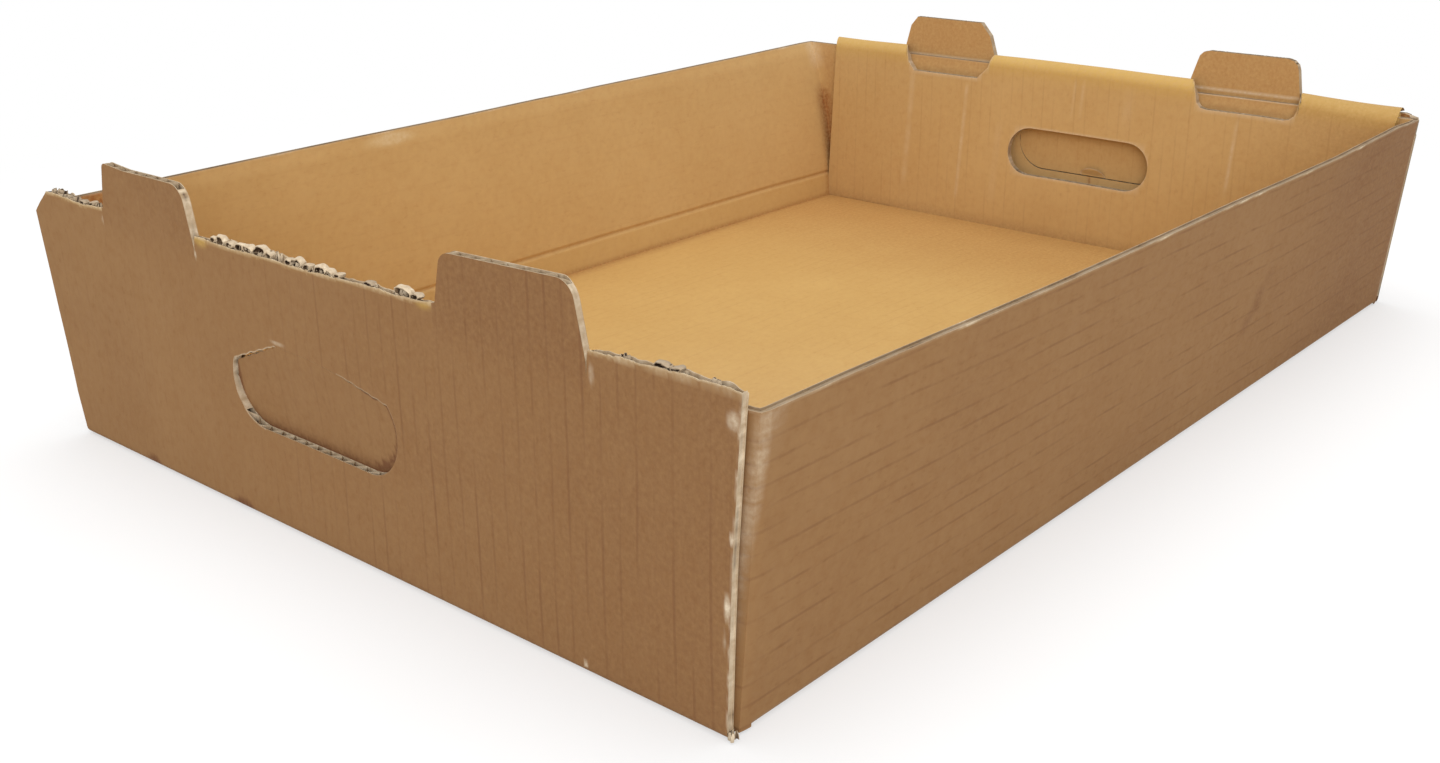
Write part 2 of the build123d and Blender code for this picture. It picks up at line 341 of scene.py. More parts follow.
    def side_edge(self, u, v0, v1, layer, inward):
        face_w, back_w = liner_depths(layer)
        levels = [v0, *[r for r in self.rows if v0 + 0.4 < r < v1 - 0.4], v1]
        sunk = u + inward * self.recess
        for a, b in zip(levels, levels[1:]):
            self.quad(
                self.at(u, a, face_w), self.at(u, b, face_w),
                self.core(u, b, back_w), self.core(u, a, back_w), Sheet.CORE)
            self.quad(
                self.core(u, a, back_w), self.core(u, b, back_w),
                self.core(sunk, b, back_w, self.recess), self.core(sunk, a, back_w, self.recess),
                Sheet.CORE)
            if layer == "outer":
                rows = [self.crushed_row(sunk, v, v) for v in (a, b)]
                self.strip(*rows)


SMOOTH_BELOW = math.radians(40)         # faces that meet at less than this are shaded as one


def to_object(sheet, name, body, materials):
    mesh = bpy.data.meshes.new(name)
    mesh.from_pydata([tuple(c * MM for c in p) for p in sheet.points], [], sheet.faces)
    for material in materials:
        mesh.materials.append(material)
    mesh.polygons.foreach_set("material_index", sheet.kinds)
    marks = mesh.color_attributes.new("marks", "FLOAT_COLOR", "POINT")
    marks.data.foreach_set("color", [x for mark in sheet.marks for x in mark])
    mesh.shade_smooth()
    mesh.set_sharp_from_angle(angle=SMOOTH_BELOW)
    mesh.update()
    piece = bpy.data.objects.new(name, mesh)
    bpy.context.scene.collection.objects.link(piece)
    if body is not None:
        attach(piece, body)
    return piece


# Materials

# The colour sockets of a mix node, by their places among its inputs and outputs
MIX_UNDER, MIX_OVER, MIX_COLOUR = 6, 7, 2


class Tree:
    """Adds nodes to the node tree of a material or a world."""

    def __init__(self, owner):
        owner.use_nodes = True
        self.nodes = owner.node_tree.nodes
        self.links = owner.node_tree.links

    def put(self, socket, value):
        # A socket takes a number, a colour or what another socket gives.
        if isinstance(value, (int, float)):
            socket.default_value = value
        elif isinstance(value, tuple):
            socket.default_value = (*value, 1)
        else:
            self.links.new(value, socket)

    def maths(self, kind, a, b=0.0, limited=False):
        node = self.nodes.new("ShaderNodeMath")
        node.operation = kind
        node.use_clamp = limited
        self.put(node.inputs[0], a)
        self.put(node.inputs[1], b)
        return node.outputs[0]

    def spread(self, value, low, high, to_low=0.0, to_high=1.0, curve="LINEAR"):
        node = self.nodes.new("ShaderNodeMapRange")
        node.interpolation_type = curve
        node.inputs["From Min"].default_value = low
        node.inputs["From Max"].default_value = high
        node.inputs["To Min"].default_value = to_low
        node.inputs["To Max"].default_value = to_high
        self.links.new(value, node.inputs["Value"])
        return node.outputs["Result"]

    def mix(self, factor, under, over):
        node = self.nodes.new("ShaderNodeMix")
        node.data_type = "RGBA"
        self.put(node.inputs[0], factor)
        self.put(node.inputs[MIX_UNDER], under)
        self.put(node.inputs[MIX_OVER], over)
        return node.outputs[MIX_COLOUR]

    def seen_directly(self):
        # 1 for rays that show the background: from the camera, a gloss or clear glass.
        path = self.nodes.new("ShaderNodeLightPath")
        total = path.outputs["Is Camera Ray"]
        for name in ("Is Glossy Ray", "Is Transmission Ray"):
            total = self.maths("ADD", total, path.outputs[name], limited=True)
        return total


class Kraft(Tree):
    """Builds one kraft paper material. across is the object axis that the flutes are counted along."""

    def __init__(self, name, colour, across, pale, dark, warm, contrast=1.0):
        self.material = bpy.data.materials.new(name)
        super().__init__(self.material)
        self.coords = self.nodes.new("ShaderNodeTexCoord").outputs["Object"]
        self.colour = colour
        self.pale = pale
        self.dark = dark
        self.warm = warm
        self.contrast = contrast
        self.marks = self.nodes.new("ShaderNodeVertexColor")
        self.marks.layer_name = "marks"
        # fibres lie along the machine direction, which is across the flutes
        self.along_flutes = {"Y": (0.10, 1.0, 0.10), "Z": (0.22, 0.22, 1.0)}[across]
        fibre_way = {"Y": (0.5, 0.8, 0.35), "Z": (0.35, 0.35, 0.8)}[across]
        self.fibres = self.noise(620, 4.0, fibre_way)
        self.flutes = self.flute_lines(across)
        self.paint()
        self.relief()

    def noise(self, scale, detail=3.0, stretch=(1, 1, 1)):
        mapped = self.nodes.new("ShaderNodeMapping")
        mapped.inputs["Scale"].default_value = stretch
        self.links.new(self.coords, mapped.inputs["Vector"])
        node = self.nodes.new("ShaderNodeTexNoise")
        node.inputs["Scale"].default_value = scale
        node.inputs["Detail"].default_value = detail
        node.inputs["Roughness"].default_value = 0.6
        self.links.new(mapped.outputs["Vector"], node.inputs["Vector"])
        return node.outputs["Fac"]

    def shaded(self, red, green, blue):
        return tuple(min(1.0, c * k) for c, k in zip(self.colour, (red, green, blue)))

    def flute_lines(self, across):
        split = self.nodes.new("ShaderNodeSeparateXYZ")
        self.links.new(self.coords, split.inputs[0])
        wander = self.spread(self.noise(9, 2.0), 0, 1, -0.0012, 0.0012)
        place = self.maths("ADD", split.outputs[across], wander)
        self.wave = self.maths("SINE", self.maths("MULTIPLY", place, 2 * math.pi / (FLUTE_PITCH * MM)))
        line = self.spread(self.wave, 0.82, 1.0)
        broken = self.spread(self.noise(170, 3.0, self.along_flutes), 0.40, 0.62)
        seen = self.maths("MULTIPLY", self.marks.outputs["Alpha"], broken)
        return self.maths("MULTIPLY", line, seen)

    def lay(self, factor, colour):
        self.tint = self.mix(factor, self.tint, colour)

    def paint(self):
        clouds = self.noise(11, 2.0)
        blotches = self.noise(55, 3.0)
        mottle = self.noise(240, 4.0)
        specks = self.noise(1300, 2.0)
        k = self.contrast
        self.tint = self.shaded(0.97, 0.955, 0.93)
        self.lay(self.spread(clouds, 0.3, 0.7), self.shaded(1.03, 1.045, 1.06))
        self.lay(self.spread(blotches, 0.42, 0.68, 0.0, 0.5 * k), self.shaded(0.94, 0.90, 0.84))
        self.lay(self.spread(mottle, 0.50, 0.72, 0.0, 0.55 * k), self.shaded(0.90, 0.82, 0.72))
        self.lay(self.spread(mottle, 0.48, 0.30, 0.0, 0.45 * k), self.shaded(1.08, 1.10, 1.06))
        self.lay(self.spread(self.fibres, 0.58, 0.78, 0.0, 0.30 * k), self.dark)
        self.lay(self.spread(specks, 0.60, 0.78, 0.0, 0.30 * k), self.shaded(1.22, 1.20, 1.18))
        self.lay(self.maths("MULTIPLY", self.flutes, 0.48), self.dark)
        parts = self.nodes.new("ShaderNodeSeparateColor")
        self.links.new(self.marks.outputs["Color"], parts.inputs[0])
        ragged = self.spread(self.noise(520, 4.0), 0.3, 0.7, 0.5, 1.4)
        # the marks lay wear and tone, and painted highlight and painted shade as well
        for channel, colour in (("Blue", self.warm), ("Green", self.dark), ("Red", self.pale)):
            self.lay(self.maths("MULTIPLY", parts.outputs[channel], ragged, limited=True), colour)
        self.shader = self.nodes["Principled BSDF"]
        self.links.new(self.tint, self.shader.inputs["Base Color"])

    def relief(self):
        # washboard, fibres and shallow dents
        height = self.maths("MULTIPLY", self.wave, 0.025)
        for source, strength in ((self.fibres, 0.10), (self.flutes, -0.12), (self.noise(38, 3.0), 0.28)):
            height = self.maths("ADD", height, self.maths("MULTIPLY", source, strength))
        bump = self.nodes.new("ShaderNodeBump")
        bump.inputs["Strength"].default_value = 0.55
        bump.inputs["Distance"].default_value = MM
        self.links.new(height, bump.inputs["Height"])
        self.links.new(bump.outputs["Normal"], self.shader.inputs["Normal"])
        self.links.new(self.spread(self.fibres, 0.3, 0.7, 0.76, 0.90), self.shader.inputs["Roughness"])
        self.shader.inputs["Specular IOR Level"].default_value = 0.25


def linear(red, green, blue):
    # A colour from 0 to 255 as seen, made linear.
    values = [c / 255 for c in (red, green, blue)]
    return tuple(c / 12.92 if c < 0.04045 else ((c + 0.055) / 1.055) ** 2.4 for c in values)


# One kraft paper throughout: the inside and floor colours are painted lighter and more golden, as lit from
# above, and the outside colours darker, as painted shade.
OUTSIDE_SHADED = linear(153, 115, 74)
OUTSIDE_DARK = linear(118, 78, 48)
INSIDE_LIT = linear(202, 165, 110)
INSIDE_DARK = linear(160, 106, 58)
FLOOR_LIT = linear(202, 162, 98)
PALE = linear(224, 206, 178)
GOLD = linear(204, 166, 88)
CORE = linear(177, 152, 120)
CORE_DARK = linear(72, 50, 36)

outside_ends = Kraft("kraft_outside_ends", OUTSIDE_SHADED, "Y", PALE, OUTSIDE_DARK, GOLD).material
outside_sides = Kraft("kraft_outside_sides", OUTSIDE_SHADED, "Z", PALE, OUTSIDE_DARK, GOLD).material
inside_ends = Kraft("kraft_inside_ends", INSIDE_LIT, "Y", PALE, INSIDE_DARK, GOLD, 0.7).material
inside_sides = Kraft("kraft_inside_sides", INSIDE_LIT, "Z", PALE, INSIDE_DARK, GOLD, 0.7).material
# The roll and the far inner ply show their outer liner in the lit inside colour, going to the shaded
# outside colour as painted shade.
rolled_over = Kraft("kraft_rolled_over", INSIDE_LIT, "Y", PALE, OUTSIDE_SHADED, GOLD, 0.7).material
floor_top = Kraft("kraft_floor_top", FLOOR_LIT, "Y", PALE, INSIDE_DARK, GOLD, 0.6).material
cut_board = Kraft("cut_board", CORE, "Y", PALE, CORE_DARK, GOLD).material


# Shapes shared by several panels

def always(value):
    return lambda u, layer: value


def widen(u, extra):
    # Moves a side edge: the last part of the panel is stretched by extra.
    return (extra if u > 0 else -extra) * clamp((abs(u) - 180) / 20)


def slot_edge(centre, bottom, width, height, upper):
    # Lower or upper edge of a hole with round ends, as a function of u.
    radius = height / 2
    straight = width / 2 - radius

    def edge(u, layer=None):
        past = clamp((abs(u - centre) - straight) / radius)
        rise = radius * math.sqrt(max(0.0, 1 - past * past))
        return bottom + radius + (rise if upper else -rise)

    return edge


def hand_hole_top(centre, bottom, left_drop, right_drop, right_start=0.0, hinge_half=22.0):
    # Upper edge of a hand hole: the round ends, cut lower by a torn line on each side of the hinge.
    slot_top = slot_edge(centre, bottom, HOLE_WIDTH, HOLE_HEIGHT, True)

    def edge(u, layer=None):
        away = u - centre
        drop = left_drop if away > 0 else right_drop
        past = max(0.0, abs(away) - hinge_half)
        torn = bottom + HOLE_HEIGHT - past * math.tan(math.radians(drop))
        torn -= right_start * clamp(-away / hinge_half)
        torn += 0.5 * rough(u / 3.0, 1.0, 5.0) * clamp(past / 3)
        return min(slot_top(u), torn)

    return edge


def rounded_tab(half_foot, run, radii):
    """The two sides of a tab, each as points (distance from its centre, height above the crease)."""
    slant = math.atan2(TAB_RISE, run)
    corner = half_foot - run
    sides = {}
    for side, radius in zip((1, -1), radii):
        reach = radius * math.tan(slant / 2)
        arc = []
        for k in range(TAB_ARC_STEPS + 1):
            turn = slant * k / TAB_ARC_STEPS
            away = corner - reach + radius * math.sin(turn)
            arc.append((away, TAB_RISE - radius * (1 - math.cos(turn))))
        sides[side] = [(0.0, TAB_RISE), *arc, (half_foot, 0.0)]
    return sides


def tab_ends(centre, sides):
    # Where the foot of a tab starts and stops.
    return centre - sides[-1][-1][0], centre + sides[1][-1][0]


def tab_top(centre, sides):
    def edge(u, layer=None):
        away = u - centre
        return CREASE_Z + along(sides[1 if away > 0 else -1], abs(away))

    return edge


def tab_stops(centre, sides):
    # Columns at a tab's corners, and close together down its slanted sides.
    found = []
    for side, points in sides.items():
        found += [centre + side * away for away, height in points]
        found += [centre + side * (points[-2][0] + k * TAB_SLANT_STEP) for k in range(TAB_SLANT_STOPS)]
    return found


def foot_turn(sheet, tag, positions, start, turned):
    # The outer liner's quarter turn under the floor. start gives the index of the point where it
    # leaves a wall, and turned the place and marks of a point further round.
    def at(position, k):
        if k == 0:
            return start(position)
        place, mark = turned(position, math.radians(90 * k / FOOT_STEPS))
        return sheet.point((tag + "_foot", round(position, 3), k), place, mark)

    for p0, p1 in zip(positions, positions[1:]):
        for k in range(FOOT_STEPS):
            sheet.face([at(p0, k), at(p1, k), at(p1, k + 1), at(p0, k + 1)], Sheet.OUTER)


def end_foot(sheet, tag, columns, end, place, marks):
    # The foot of an end wall, where end is -1 for the near one and 1 for the far one.
    def start(u):
        key = (tag, round(u, 3), round(FOOT_RADIUS, 3), 0.0)
        return sheet.point(key, place(u, FOOT_RADIUS, 0.0), marks(u, FOOT_RADIUS, 0.0))

    def turned(u, turn):
        x = end * (HALF_LENGTH - FOOT_RADIUS + FOOT_RADIUS * math.cos(turn))
        y = place(u, FOOT_RADIUS, 0.0)[1]
        z = FOOT_RADIUS - FOOT_RADIUS * math.sin(turn)
        # The turn under the wall is painted at least a little dark, as painted shade.
        dark = max(0.15, marks(u, FOOT_RADIUS, 0.0)[1])
        return (x, y, z), (0.0, dark, 0.0, 0.3)

    inside = [u for u in columns if -HALF_WIDTH <= u <= HALF_WIDTH]
    foot_turn(sheet, tag, inside, start, turned)


def paper_skin(sheet, at, turns, levels, rims, kinds=(0, 0)):
    # Both sides of a piece of paper, closed along the named rims. at(k, level, side) is a point.
    for k in range(turns):
        for level in range(levels):
            for side in (0, 1):
                sheet.face([
                    at(k, level, side), at(k + 1, level, side),
                    at(k + 1, level + 1, side), at(k, level + 1, side)], kinds[side])
        for rim in rims:
            sheet.face([at(k, rim, 0), at(k + 1, rim, 0), at(k + 1, rim, 1), at(k, rim, 1)], kinds[1])


# Near end wall: one ply, torn along its roll-over

# Side edges of the panel: height, distance from the middle
NEAR_EDGES = {
    1: [(0, 195.4), (20, 199.0), (60, 202.2), (107, 204.4), (120, 205.0)],
    -1: [(0, 198.9), (65, 201.2), (120, 204.6)],
}
NEAR_TABS = {
    115.1: rounded_tab(33.7, NEAR_TAB_RUN, (3.0, 8.5)),
    -103.65: rounded_tab(36.7, NEAR_TAB_RUN, (5.5, 8.0)),
}
TORN_RIM = [
    (-200, 120.2), (-195, 120.6), (-183, 120.4), (-165, 119.7), (-143, 118.9), (-66, 118.9), (-57, 118.1),
    (-49, 117.7), (-38, 118.0), (-22, 117.5), (-6, 116.7), (12, 116.1), (29, 116.4), (41, 116.1),
    (56, 115.6), (73, 116.2), (149, 116.8), (166, 116.0), (176, 117.0), (184, 117.6), (190, 117.2)]
CUT_CORNER = [(190.0, 117.2), (200.0, 107.0)]
# The tabs stand a little askew: u, lift
TAB_LIFT = [(-137, 2.4), (-76, 0.2), (90, -2.3), (128, -2.3), (140, -1.2), (146, 0.0)]
RELIEF_FOOT = 108.5
RELIEF_WIDTH = 1.3
LEFT_END_LEAN = 4.0                     # the wall's left end leans out by this at its top
LIP_RISE = 0.05                         # the inner liner of the hole's lip stands a little higher
# Where torn flutes stand proud of the rim: centre, half width, height
TUFTS = [
    (181, 13, 1.9), (160, 10, 1.2), (57, 10, 2.0), (44, 8, 1.9), (33, 6, 2.2), (8, 9, 1.6), (-7, 8, 1.2),
    (-31, 3, 0.8), (-50, 6, 1.8), (-156, 4, 0.7), (-175, 8, 1.4), (-193, 3, 0.7)]
# Loops of torn paper that face the front: y, half width, half height, how dark
LOOPS = [
    (68.0, 1.8, 1.2, 0.2), (63.0, 2.6, 2.0, 0.0), (57.0, 2.0, 1.4, 0.1), (50.5, 2.6, 1.6, 0.0),
    (44.5, 2.9, 1.6, 0.0), (36.5, 3.8, 2.2, 0.0), (30.5, 1.8, 1.3, 0.2), (18.0, 2.2, 1.2, 0.2),
    (13.5, 3.6, 1.9, 0.0), (6.5, 2.0, 1.3, 0.2), (-1.8, 3.4, 1.8, 0.0), (-7.5, 2.0, 1.2, 0.1),
    (-12.5, 1.7, 1.0, 0.2), (-31.0, 2.2, 0.8, 0.5), (-50.3, 4.0, 2.1, 0.0), (-56.8, 2.2, 1.1, 0.3),
    (-171.5, 2.8, 1.0, 0.5), (-178.0, 2.2, 0.8, 0.5), (158.0, 2.0, 0.9, 0.4), (165.5, 1.8, 0.8, 0.5)]
# Pale scuffs on the near panel: u, v, reach along u and v, strength
NEAR_SCUFFS = [
    (30, 81.9, 6.5, 0.8, 0.35),
    (-197.9, 110.5, 3.0, 4.2, 0.5), (-198.7, 48, 1.8, 5.0, 0.9), (-199.2, 71.5, 1.2, 1.8, 0.8),
    (-197.8, 36, 0.8, 4.5, 0.3), (-136, 3.0, 1.2, 3.0, 0.6), (149.6, 111.5, 0.9, 3.0, 0.3),
    (-142.6, 111.0, 1.5, 5.0, 0.3), (81.0, 108.6, 1.1, 2.4, 0.45)]
# Painted golden highlight on the rim, stronger where it meets a tab: u, reach along u and v, strength
RIM_GOLD = [(76, 7, 5, 0.8), (-63, 7, 4, 0.7)]
# Painted shadow at the foot where its fold is cut: u, half width
FOOT_CUT_SHADOWS = [(137, 7), (67, 9)]

near_hole_slot = slot_edge(NEAR_HOLE_Y, NEAR_HOLE_Z, HOLE_WIDTH, HOLE_HEIGHT, False)
near_hole_high = hand_hole_top(NEAR_HOLE_Y, NEAR_HOLE_Z, 21.0, 10.0, 2.2)


def near_hole_low(u, layer):
    return near_hole_slot(u) + (LIP_RISE if layer == "inner" else 0.0)


def tuft(u):
    return max(height * ease(1.6 * (1 - abs(u - centre) / half)) for centre, half, height in TUFTS)


def torn_rim(u, layer):
    # Height of the torn edge. The outer liner is only frayed, and the rest stands up in tufts.
    height = along(TORN_RIM, u)
    if layer == "outer":
        height += 0.45 * rough(u / 1.7, 0.0, 2.0) + 0.5 * rough(u / 8.0, 0.0, 9.0)
    else:
        seed = 7.0 if layer == "medium" else 13.0
        standing = tuft(u) * (0.7 + 0.5 * rough(u / 2.6, seed, 2.0))
        height += -0.9 + standing + 0.8 * rough(u / 5.0, seed, 9.0)
    return height


def over_tab(u):
    for centre, sides in NEAR_TABS.items():
        start, stop = tab_ends(centre, sides)
        if start <= u <= stop:
            return centre
    return None


def near_top(u, layer):
    if u > CUT_CORNER[0][0]:
        return along(CUT_CORNER, u) + 0.2 * rough(u, 3.0, 1.0)
    height = torn_rim(u, layer)
    for centre, sides in NEAR_TABS.items():
        foot = tab_ends(centre, sides)[0]
        if foot - RELIEF_WIDTH < u < foot:
            part = (u - foot + RELIEF_WIDTH) / RELIEF_WIDTH
            height += (RELIEF_FOOT - height) * part ** 1.6
        if centre == over_tab(u):
            tab = tab_top(centre, sides)(u) + along(TAB_LIFT, u)
            height = max(height if u > centre else RELIEF_FOOT, tab)
    return height


def near_spans(u):
    foot = always(FOOT_RADIUS)
    if abs(u - NEAR_HOLE_Y) < HOLE_WIDTH / 2:
        return [(foot, near_hole_low), (near_hole_high, near_top)]
    return [(foot, near_top)]


def near_twist(y, z):
    # The wall's left end leans out, and a slow wave runs through the board.
    lean = -LEFT_END_LEAN * clamp((y - 100) / 100) ** 1.5 * max(0.0, z / SIDE_HEIGHT) ** 1.3
    return lean + 0.8 * rough(y / 90, z / 90, 3.0) * clamp(z / 30)


def near_flare(u, v):
    # How far the torn inner liner is bent back, towards the tray.
    if over_tab(u) is not None:
        return 0.0
    depth = ease((v - along(TORN_RIM, u) + 8) / 8)
    bent = 0.6 + 0.8 * rough(u / 7, 0.0, 21.0)
    bent += 1.9 * ease((u - 14) / 12) * ease((79 - u) / 12) + 2.2 * spot(u, 0, 23, 0, 8, 1)
    beside_tab = ease((abs(u - 78) - 1) / 8) * ease((abs(u + 66) - 1) / 8)
    return depth * max(0.0, bent) * clamp((190 - u) / 8) * beside_tab


def near_pressed(u, v):
    # How far the die pressed the board, from 0 to 1: beside the tabs, at the right end and round
    # the hole.
    pressed = 0.0
    past = v - CREASE_Z
    for centre, sides in NEAR_TABS.items():
        half = sides[-1][-1][0] - NEAR_TAB_RUN * clamp(past / TAB_RISE)
        if past > -4 and centre - half - 3 < u < centre:
            strength = 0.3 if centre > 0 else 1.0
            pressed = strength * ease((centre - half + 7 - u) / 7) * clamp((past + 4) / 6)
    radius = HOLE_HEIGHT / 2
    beyond = max(0.0, abs(u - NEAR_HOLE_Y) - HOLE_WIDTH / 2 + radius)
    gap = math.hypot(beyond, v - NEAR_HOLE_Z - radius) - radius
    pressed = max(pressed, 0.8 * ease((-195 - u) / 4))
    return max(pressed, 0.3 * ease(1 - gap / 8) if gap > -0.5 else 0.0)


def place_near(u, v, w):
    side = 1 if u > 0 else -1
    y = u + widen(u, along(NEAR_EDGES[side], v) - HALF_WIDTH)
    x = -HALF_LENGTH + w * (1 - 0.3 * near_pressed(u, v)) + near_twist(y, v)
    if w > BOARD / 2:
        x += near_flare(u, v) * (w / BOARD)
    return (x, y, v)


def hole_fringe(u, v):
    # Pale fibres on the torn and cut edge of the near hole, thickest at its left end.
    away = u - NEAR_HOLE_Y
    if abs(away) > HOLE_WIDTH / 2:
        return 0.0
    if abs(v - near_hole_high(u)) < 0.1:
        return 0.6 if away > 21 else 0.25 * (away < -18)
    if abs(v - near_hole_slot(u)) < 0.1 and abs(away) > HOLE_WIDTH / 2 - HOLE_HEIGHT / 2:
        uneven = clamp(0.5 + 1.2 * rough(v / 4, 0.0, 14.0))
        return (0.5 if away > 0 else 0.1) * uneven
    return 0.0


def marks_near(u, v, w):
    if w > 0:
        return (0.0, 0.0, 0.0, 0.4)
    rim = along(TORN_RIM, u)
    pale = 0.0
    for centre_u, centre_v, reach_u, reach_v, strength in NEAR_SCUFFS:
        if abs(u - centre_u) < reach_u and abs(v - centre_v) < reach_v:
            pale = max(pale, strength * spot(u, v, centre_u, centre_v, reach_u, reach_v))
    edge = ease((-HALF_WIDTH + 0.9 - u) / 0.8)
    pale = max(pale, 0.5 * edge * clamp(0.4 + 1.8 * rough(v / 5, 0.0, 4.0)), hole_fringe(u, v))
    dark = 0.05 + 0.34 * clamp((120 - u) / 320) + 0.08 * clamp(rough(u / 60, v / 40, 8.0) * 2)
    warm = 0.0
    if over_tab(u) is None:
        # Painted highlight: the rim's top is painted pale and golden, as lit from above.
        pale = max(pale, 0.45 * ease((v - rim + 1.2) / 1.2))
        warm = 0.5 * ease((v - rim + 1.5) / 1.5)
        for centre, reach_u, reach_v, strength in RIM_GOLD:
            warm = max(warm, strength * spot(u, v, centre, rim, reach_u, reach_v))
    else:
        dark += 0.14 * ease((v - 100) / 14)
    # painted shadow in the gaps where the foot fold is cut
    for centre, half in FOOT_CUT_SHADOWS:
        dark = max(dark, spot(u, v, centre, FOOT_RADIUS, half, 1.5))
    line = 0.20 + 0.80 * ease((80 - u) / 160)
    return (pale, dark, warm, line)


def near_crush(u, v):
    # The flutes are flattened towards the torn rim.
    return 0.35 * ease((v - along(TORN_RIM, u) + 6) / 6) * (0.6 + rough(u / 5, v / 5, 2.0))


def near_columns():
    beside_hole = (-41.9, -42.4, 63.9, 64.4)
    extra = [CUT_CORNER[0][0], *beside_hole, *hole_stops(NEAR_HOLE_Y, HOLE_WIDTH, HOLE_HEIGHT)]
    for inset in (0.4, 1.0, 1.8, 2.8):
        extra += [HALF_WIDTH - inset, inset - HALF_WIDTH]
    for centre, sides in NEAR_TABS.items():
        foot = tab_ends(centre, sides)[0]
        extra += tab_stops(centre, sides)
        extra += [foot - RELIEF_WIDTH * k / 3 for k in range(4)]
    return stops(-HALF_WIDTH, HALF_WIDTH, FLUTE_STEP, *extra)


def make_near_end():
    sheet = Sheet()
    columns = near_columns()
    above_hole = (80.8, 81.5, 82.2, 83.0)
    by_rim = (105.5, 107, 109.5, 110.5, 111.5, 112.5, 113.2, 114, 115, 116, 117)
    rows = stops(FOOT_RADIUS, 141, 3.0, *above_hole, *by_rim)
    Board(
        sheet, "near", columns, rows, near_spans, place_near, marks_near,
        phase=NEAR_PHASE, crush=near_crush, shade=-0.5)
    end_foot(sheet, "near", columns, -1, place_near, marks_near)
    return to_object(sheet, "near_end_board", "tray", [outside_ends, inside_ends, cut_board])


# Torn fibres along the near rim

CURL_TURNS = 14
CURL_LEVELS = 6
CURL_PAPER = 0.32
LOOP_TURNS = 18
LOOP_LEVELS = 3
LOOP_PAPER = 0.5
LOOP_DEPTH = 3.0
TUFT_ROOT = 1.6                         # how far below the rim a curl starts


def place_on_near(y, v, w):
    # Near panel position without the bent-back liner.
    return Vector((-HALF_LENGTH + w + near_twist(y, v), y, v))


def add_curl(sheet, tag, foot, radius, height, sweep, rng, dark=0.0):
    # A scrap of torn flute paper, rolled about a roughly upright axis.
    start = rng.uniform(0, 2 * math.pi)
    lean = Vector((rng.uniform(-0.05, 0.25), rng.uniform(-0.18, 0.18), 1.0))
    opening = rng.uniform(-0.1, 0.15)
    oval = rng.uniform(0.6, 0.9)
    wave = rng.uniform(0, 6)
    ragged = [0.96 + 0.05 * math.sin(wave + 0.9 * k) for k in range(CURL_TURNS + 1)]

    def at(k, level, side):
        angle = start + sweep * k / CURL_TURNS
        part = level / CURL_LEVELS
        curl_in = 0.30 * ease((part - 0.5) / 0.5)
        reach = radius * (1 + opening * level / CURL_LEVELS - curl_in) - side * CURL_PAPER
        rise = height * level / CURL_LEVELS * ragged[k]
        place = foot + lean * rise + Vector((oval * reach * math.cos(angle), reach * math.sin(angle), 0))
        # Outside, the paper is painted paler towards its top as painted highlight; the shadow marks are
        # painted shadow inside it and at its foot.
        pale = 0.45 + 0.45 * part if side == 0 else 0.05
        shadow = dark + (0.95 - 0.35 * part if side else 0.45 * (1 - part))
        return sheet.point((tag, k, level, side), tuple(place), (pale * (1 - dark), shadow, 0.0, 0.0))

    paper_skin(sheet, at, CURL_TURNS, CURL_LEVELS, (CURL_LEVELS,))
    for k in (0, CURL_TURNS):
        for level in range(CURL_LEVELS):
            sheet.face([at(k, level, 0), at(k, level + 1, 0), at(k, level + 1, 1), at(k, level, 1)], 0)


def add_loop(sheet, y, half_width, half_height, dark, rng):
    # A flute torn off short: a crumpled tube of paper whose open end faces the front.
    centre = place_on_near(y, along(TORN_RIM, y) + 0.55 * half_height, 0.5)
    tilt = rng.uniform(-0.25, 0.25)
    seed = rng.uniform(0, 50)

    def around(angle, size, layer):
        # Noise that closes on itself round the loop.
        return noise.noise(Vector((size * math.cos(angle), size * math.sin(angle), layer)))

    def at(k, level, side):
        angle = 2 * math.pi * (k % LOOP_TURNS) / LOOP_TURNS
        crumple = 1 + 0.42 * around(angle, 1.4, seed + 0.6 * level)
        swell = 1 + 0.18 * math.sin(math.pi * level / LOOP_LEVELS)
        across = (half_width * crumple * swell - side * LOOP_PAPER) * math.cos(angle)
        up = (half_height * crumple * swell - side * LOOP_PAPER) * math.sin(angle) + tilt * across
        ragged = 0.5 * around(angle, 2.2, seed + 9) if level == 0 else 0.0
        place = centre + Vector((LOOP_DEPTH * level / LOOP_LEVELS + ragged, across, up))
        pale = 0.72 if side == 0 else 0.0
        shadow = 0.15 * level if side == 0 else 0.55 + 0.2 * level
        mark = (pale * (1 - dark), shadow + 0.8 * dark, 0.0, 0.0)
        return sheet.point(("loop", y, k % LOOP_TURNS, level, side), tuple(place), mark)

    paper_skin(sheet, at, LOOP_TURNS, LOOP_LEVELS, (0, LOOP_LEVELS))
    sheet.face([at(k, LOOP_LEVELS, 1) for k in range(LOOP_TURNS)], 0)


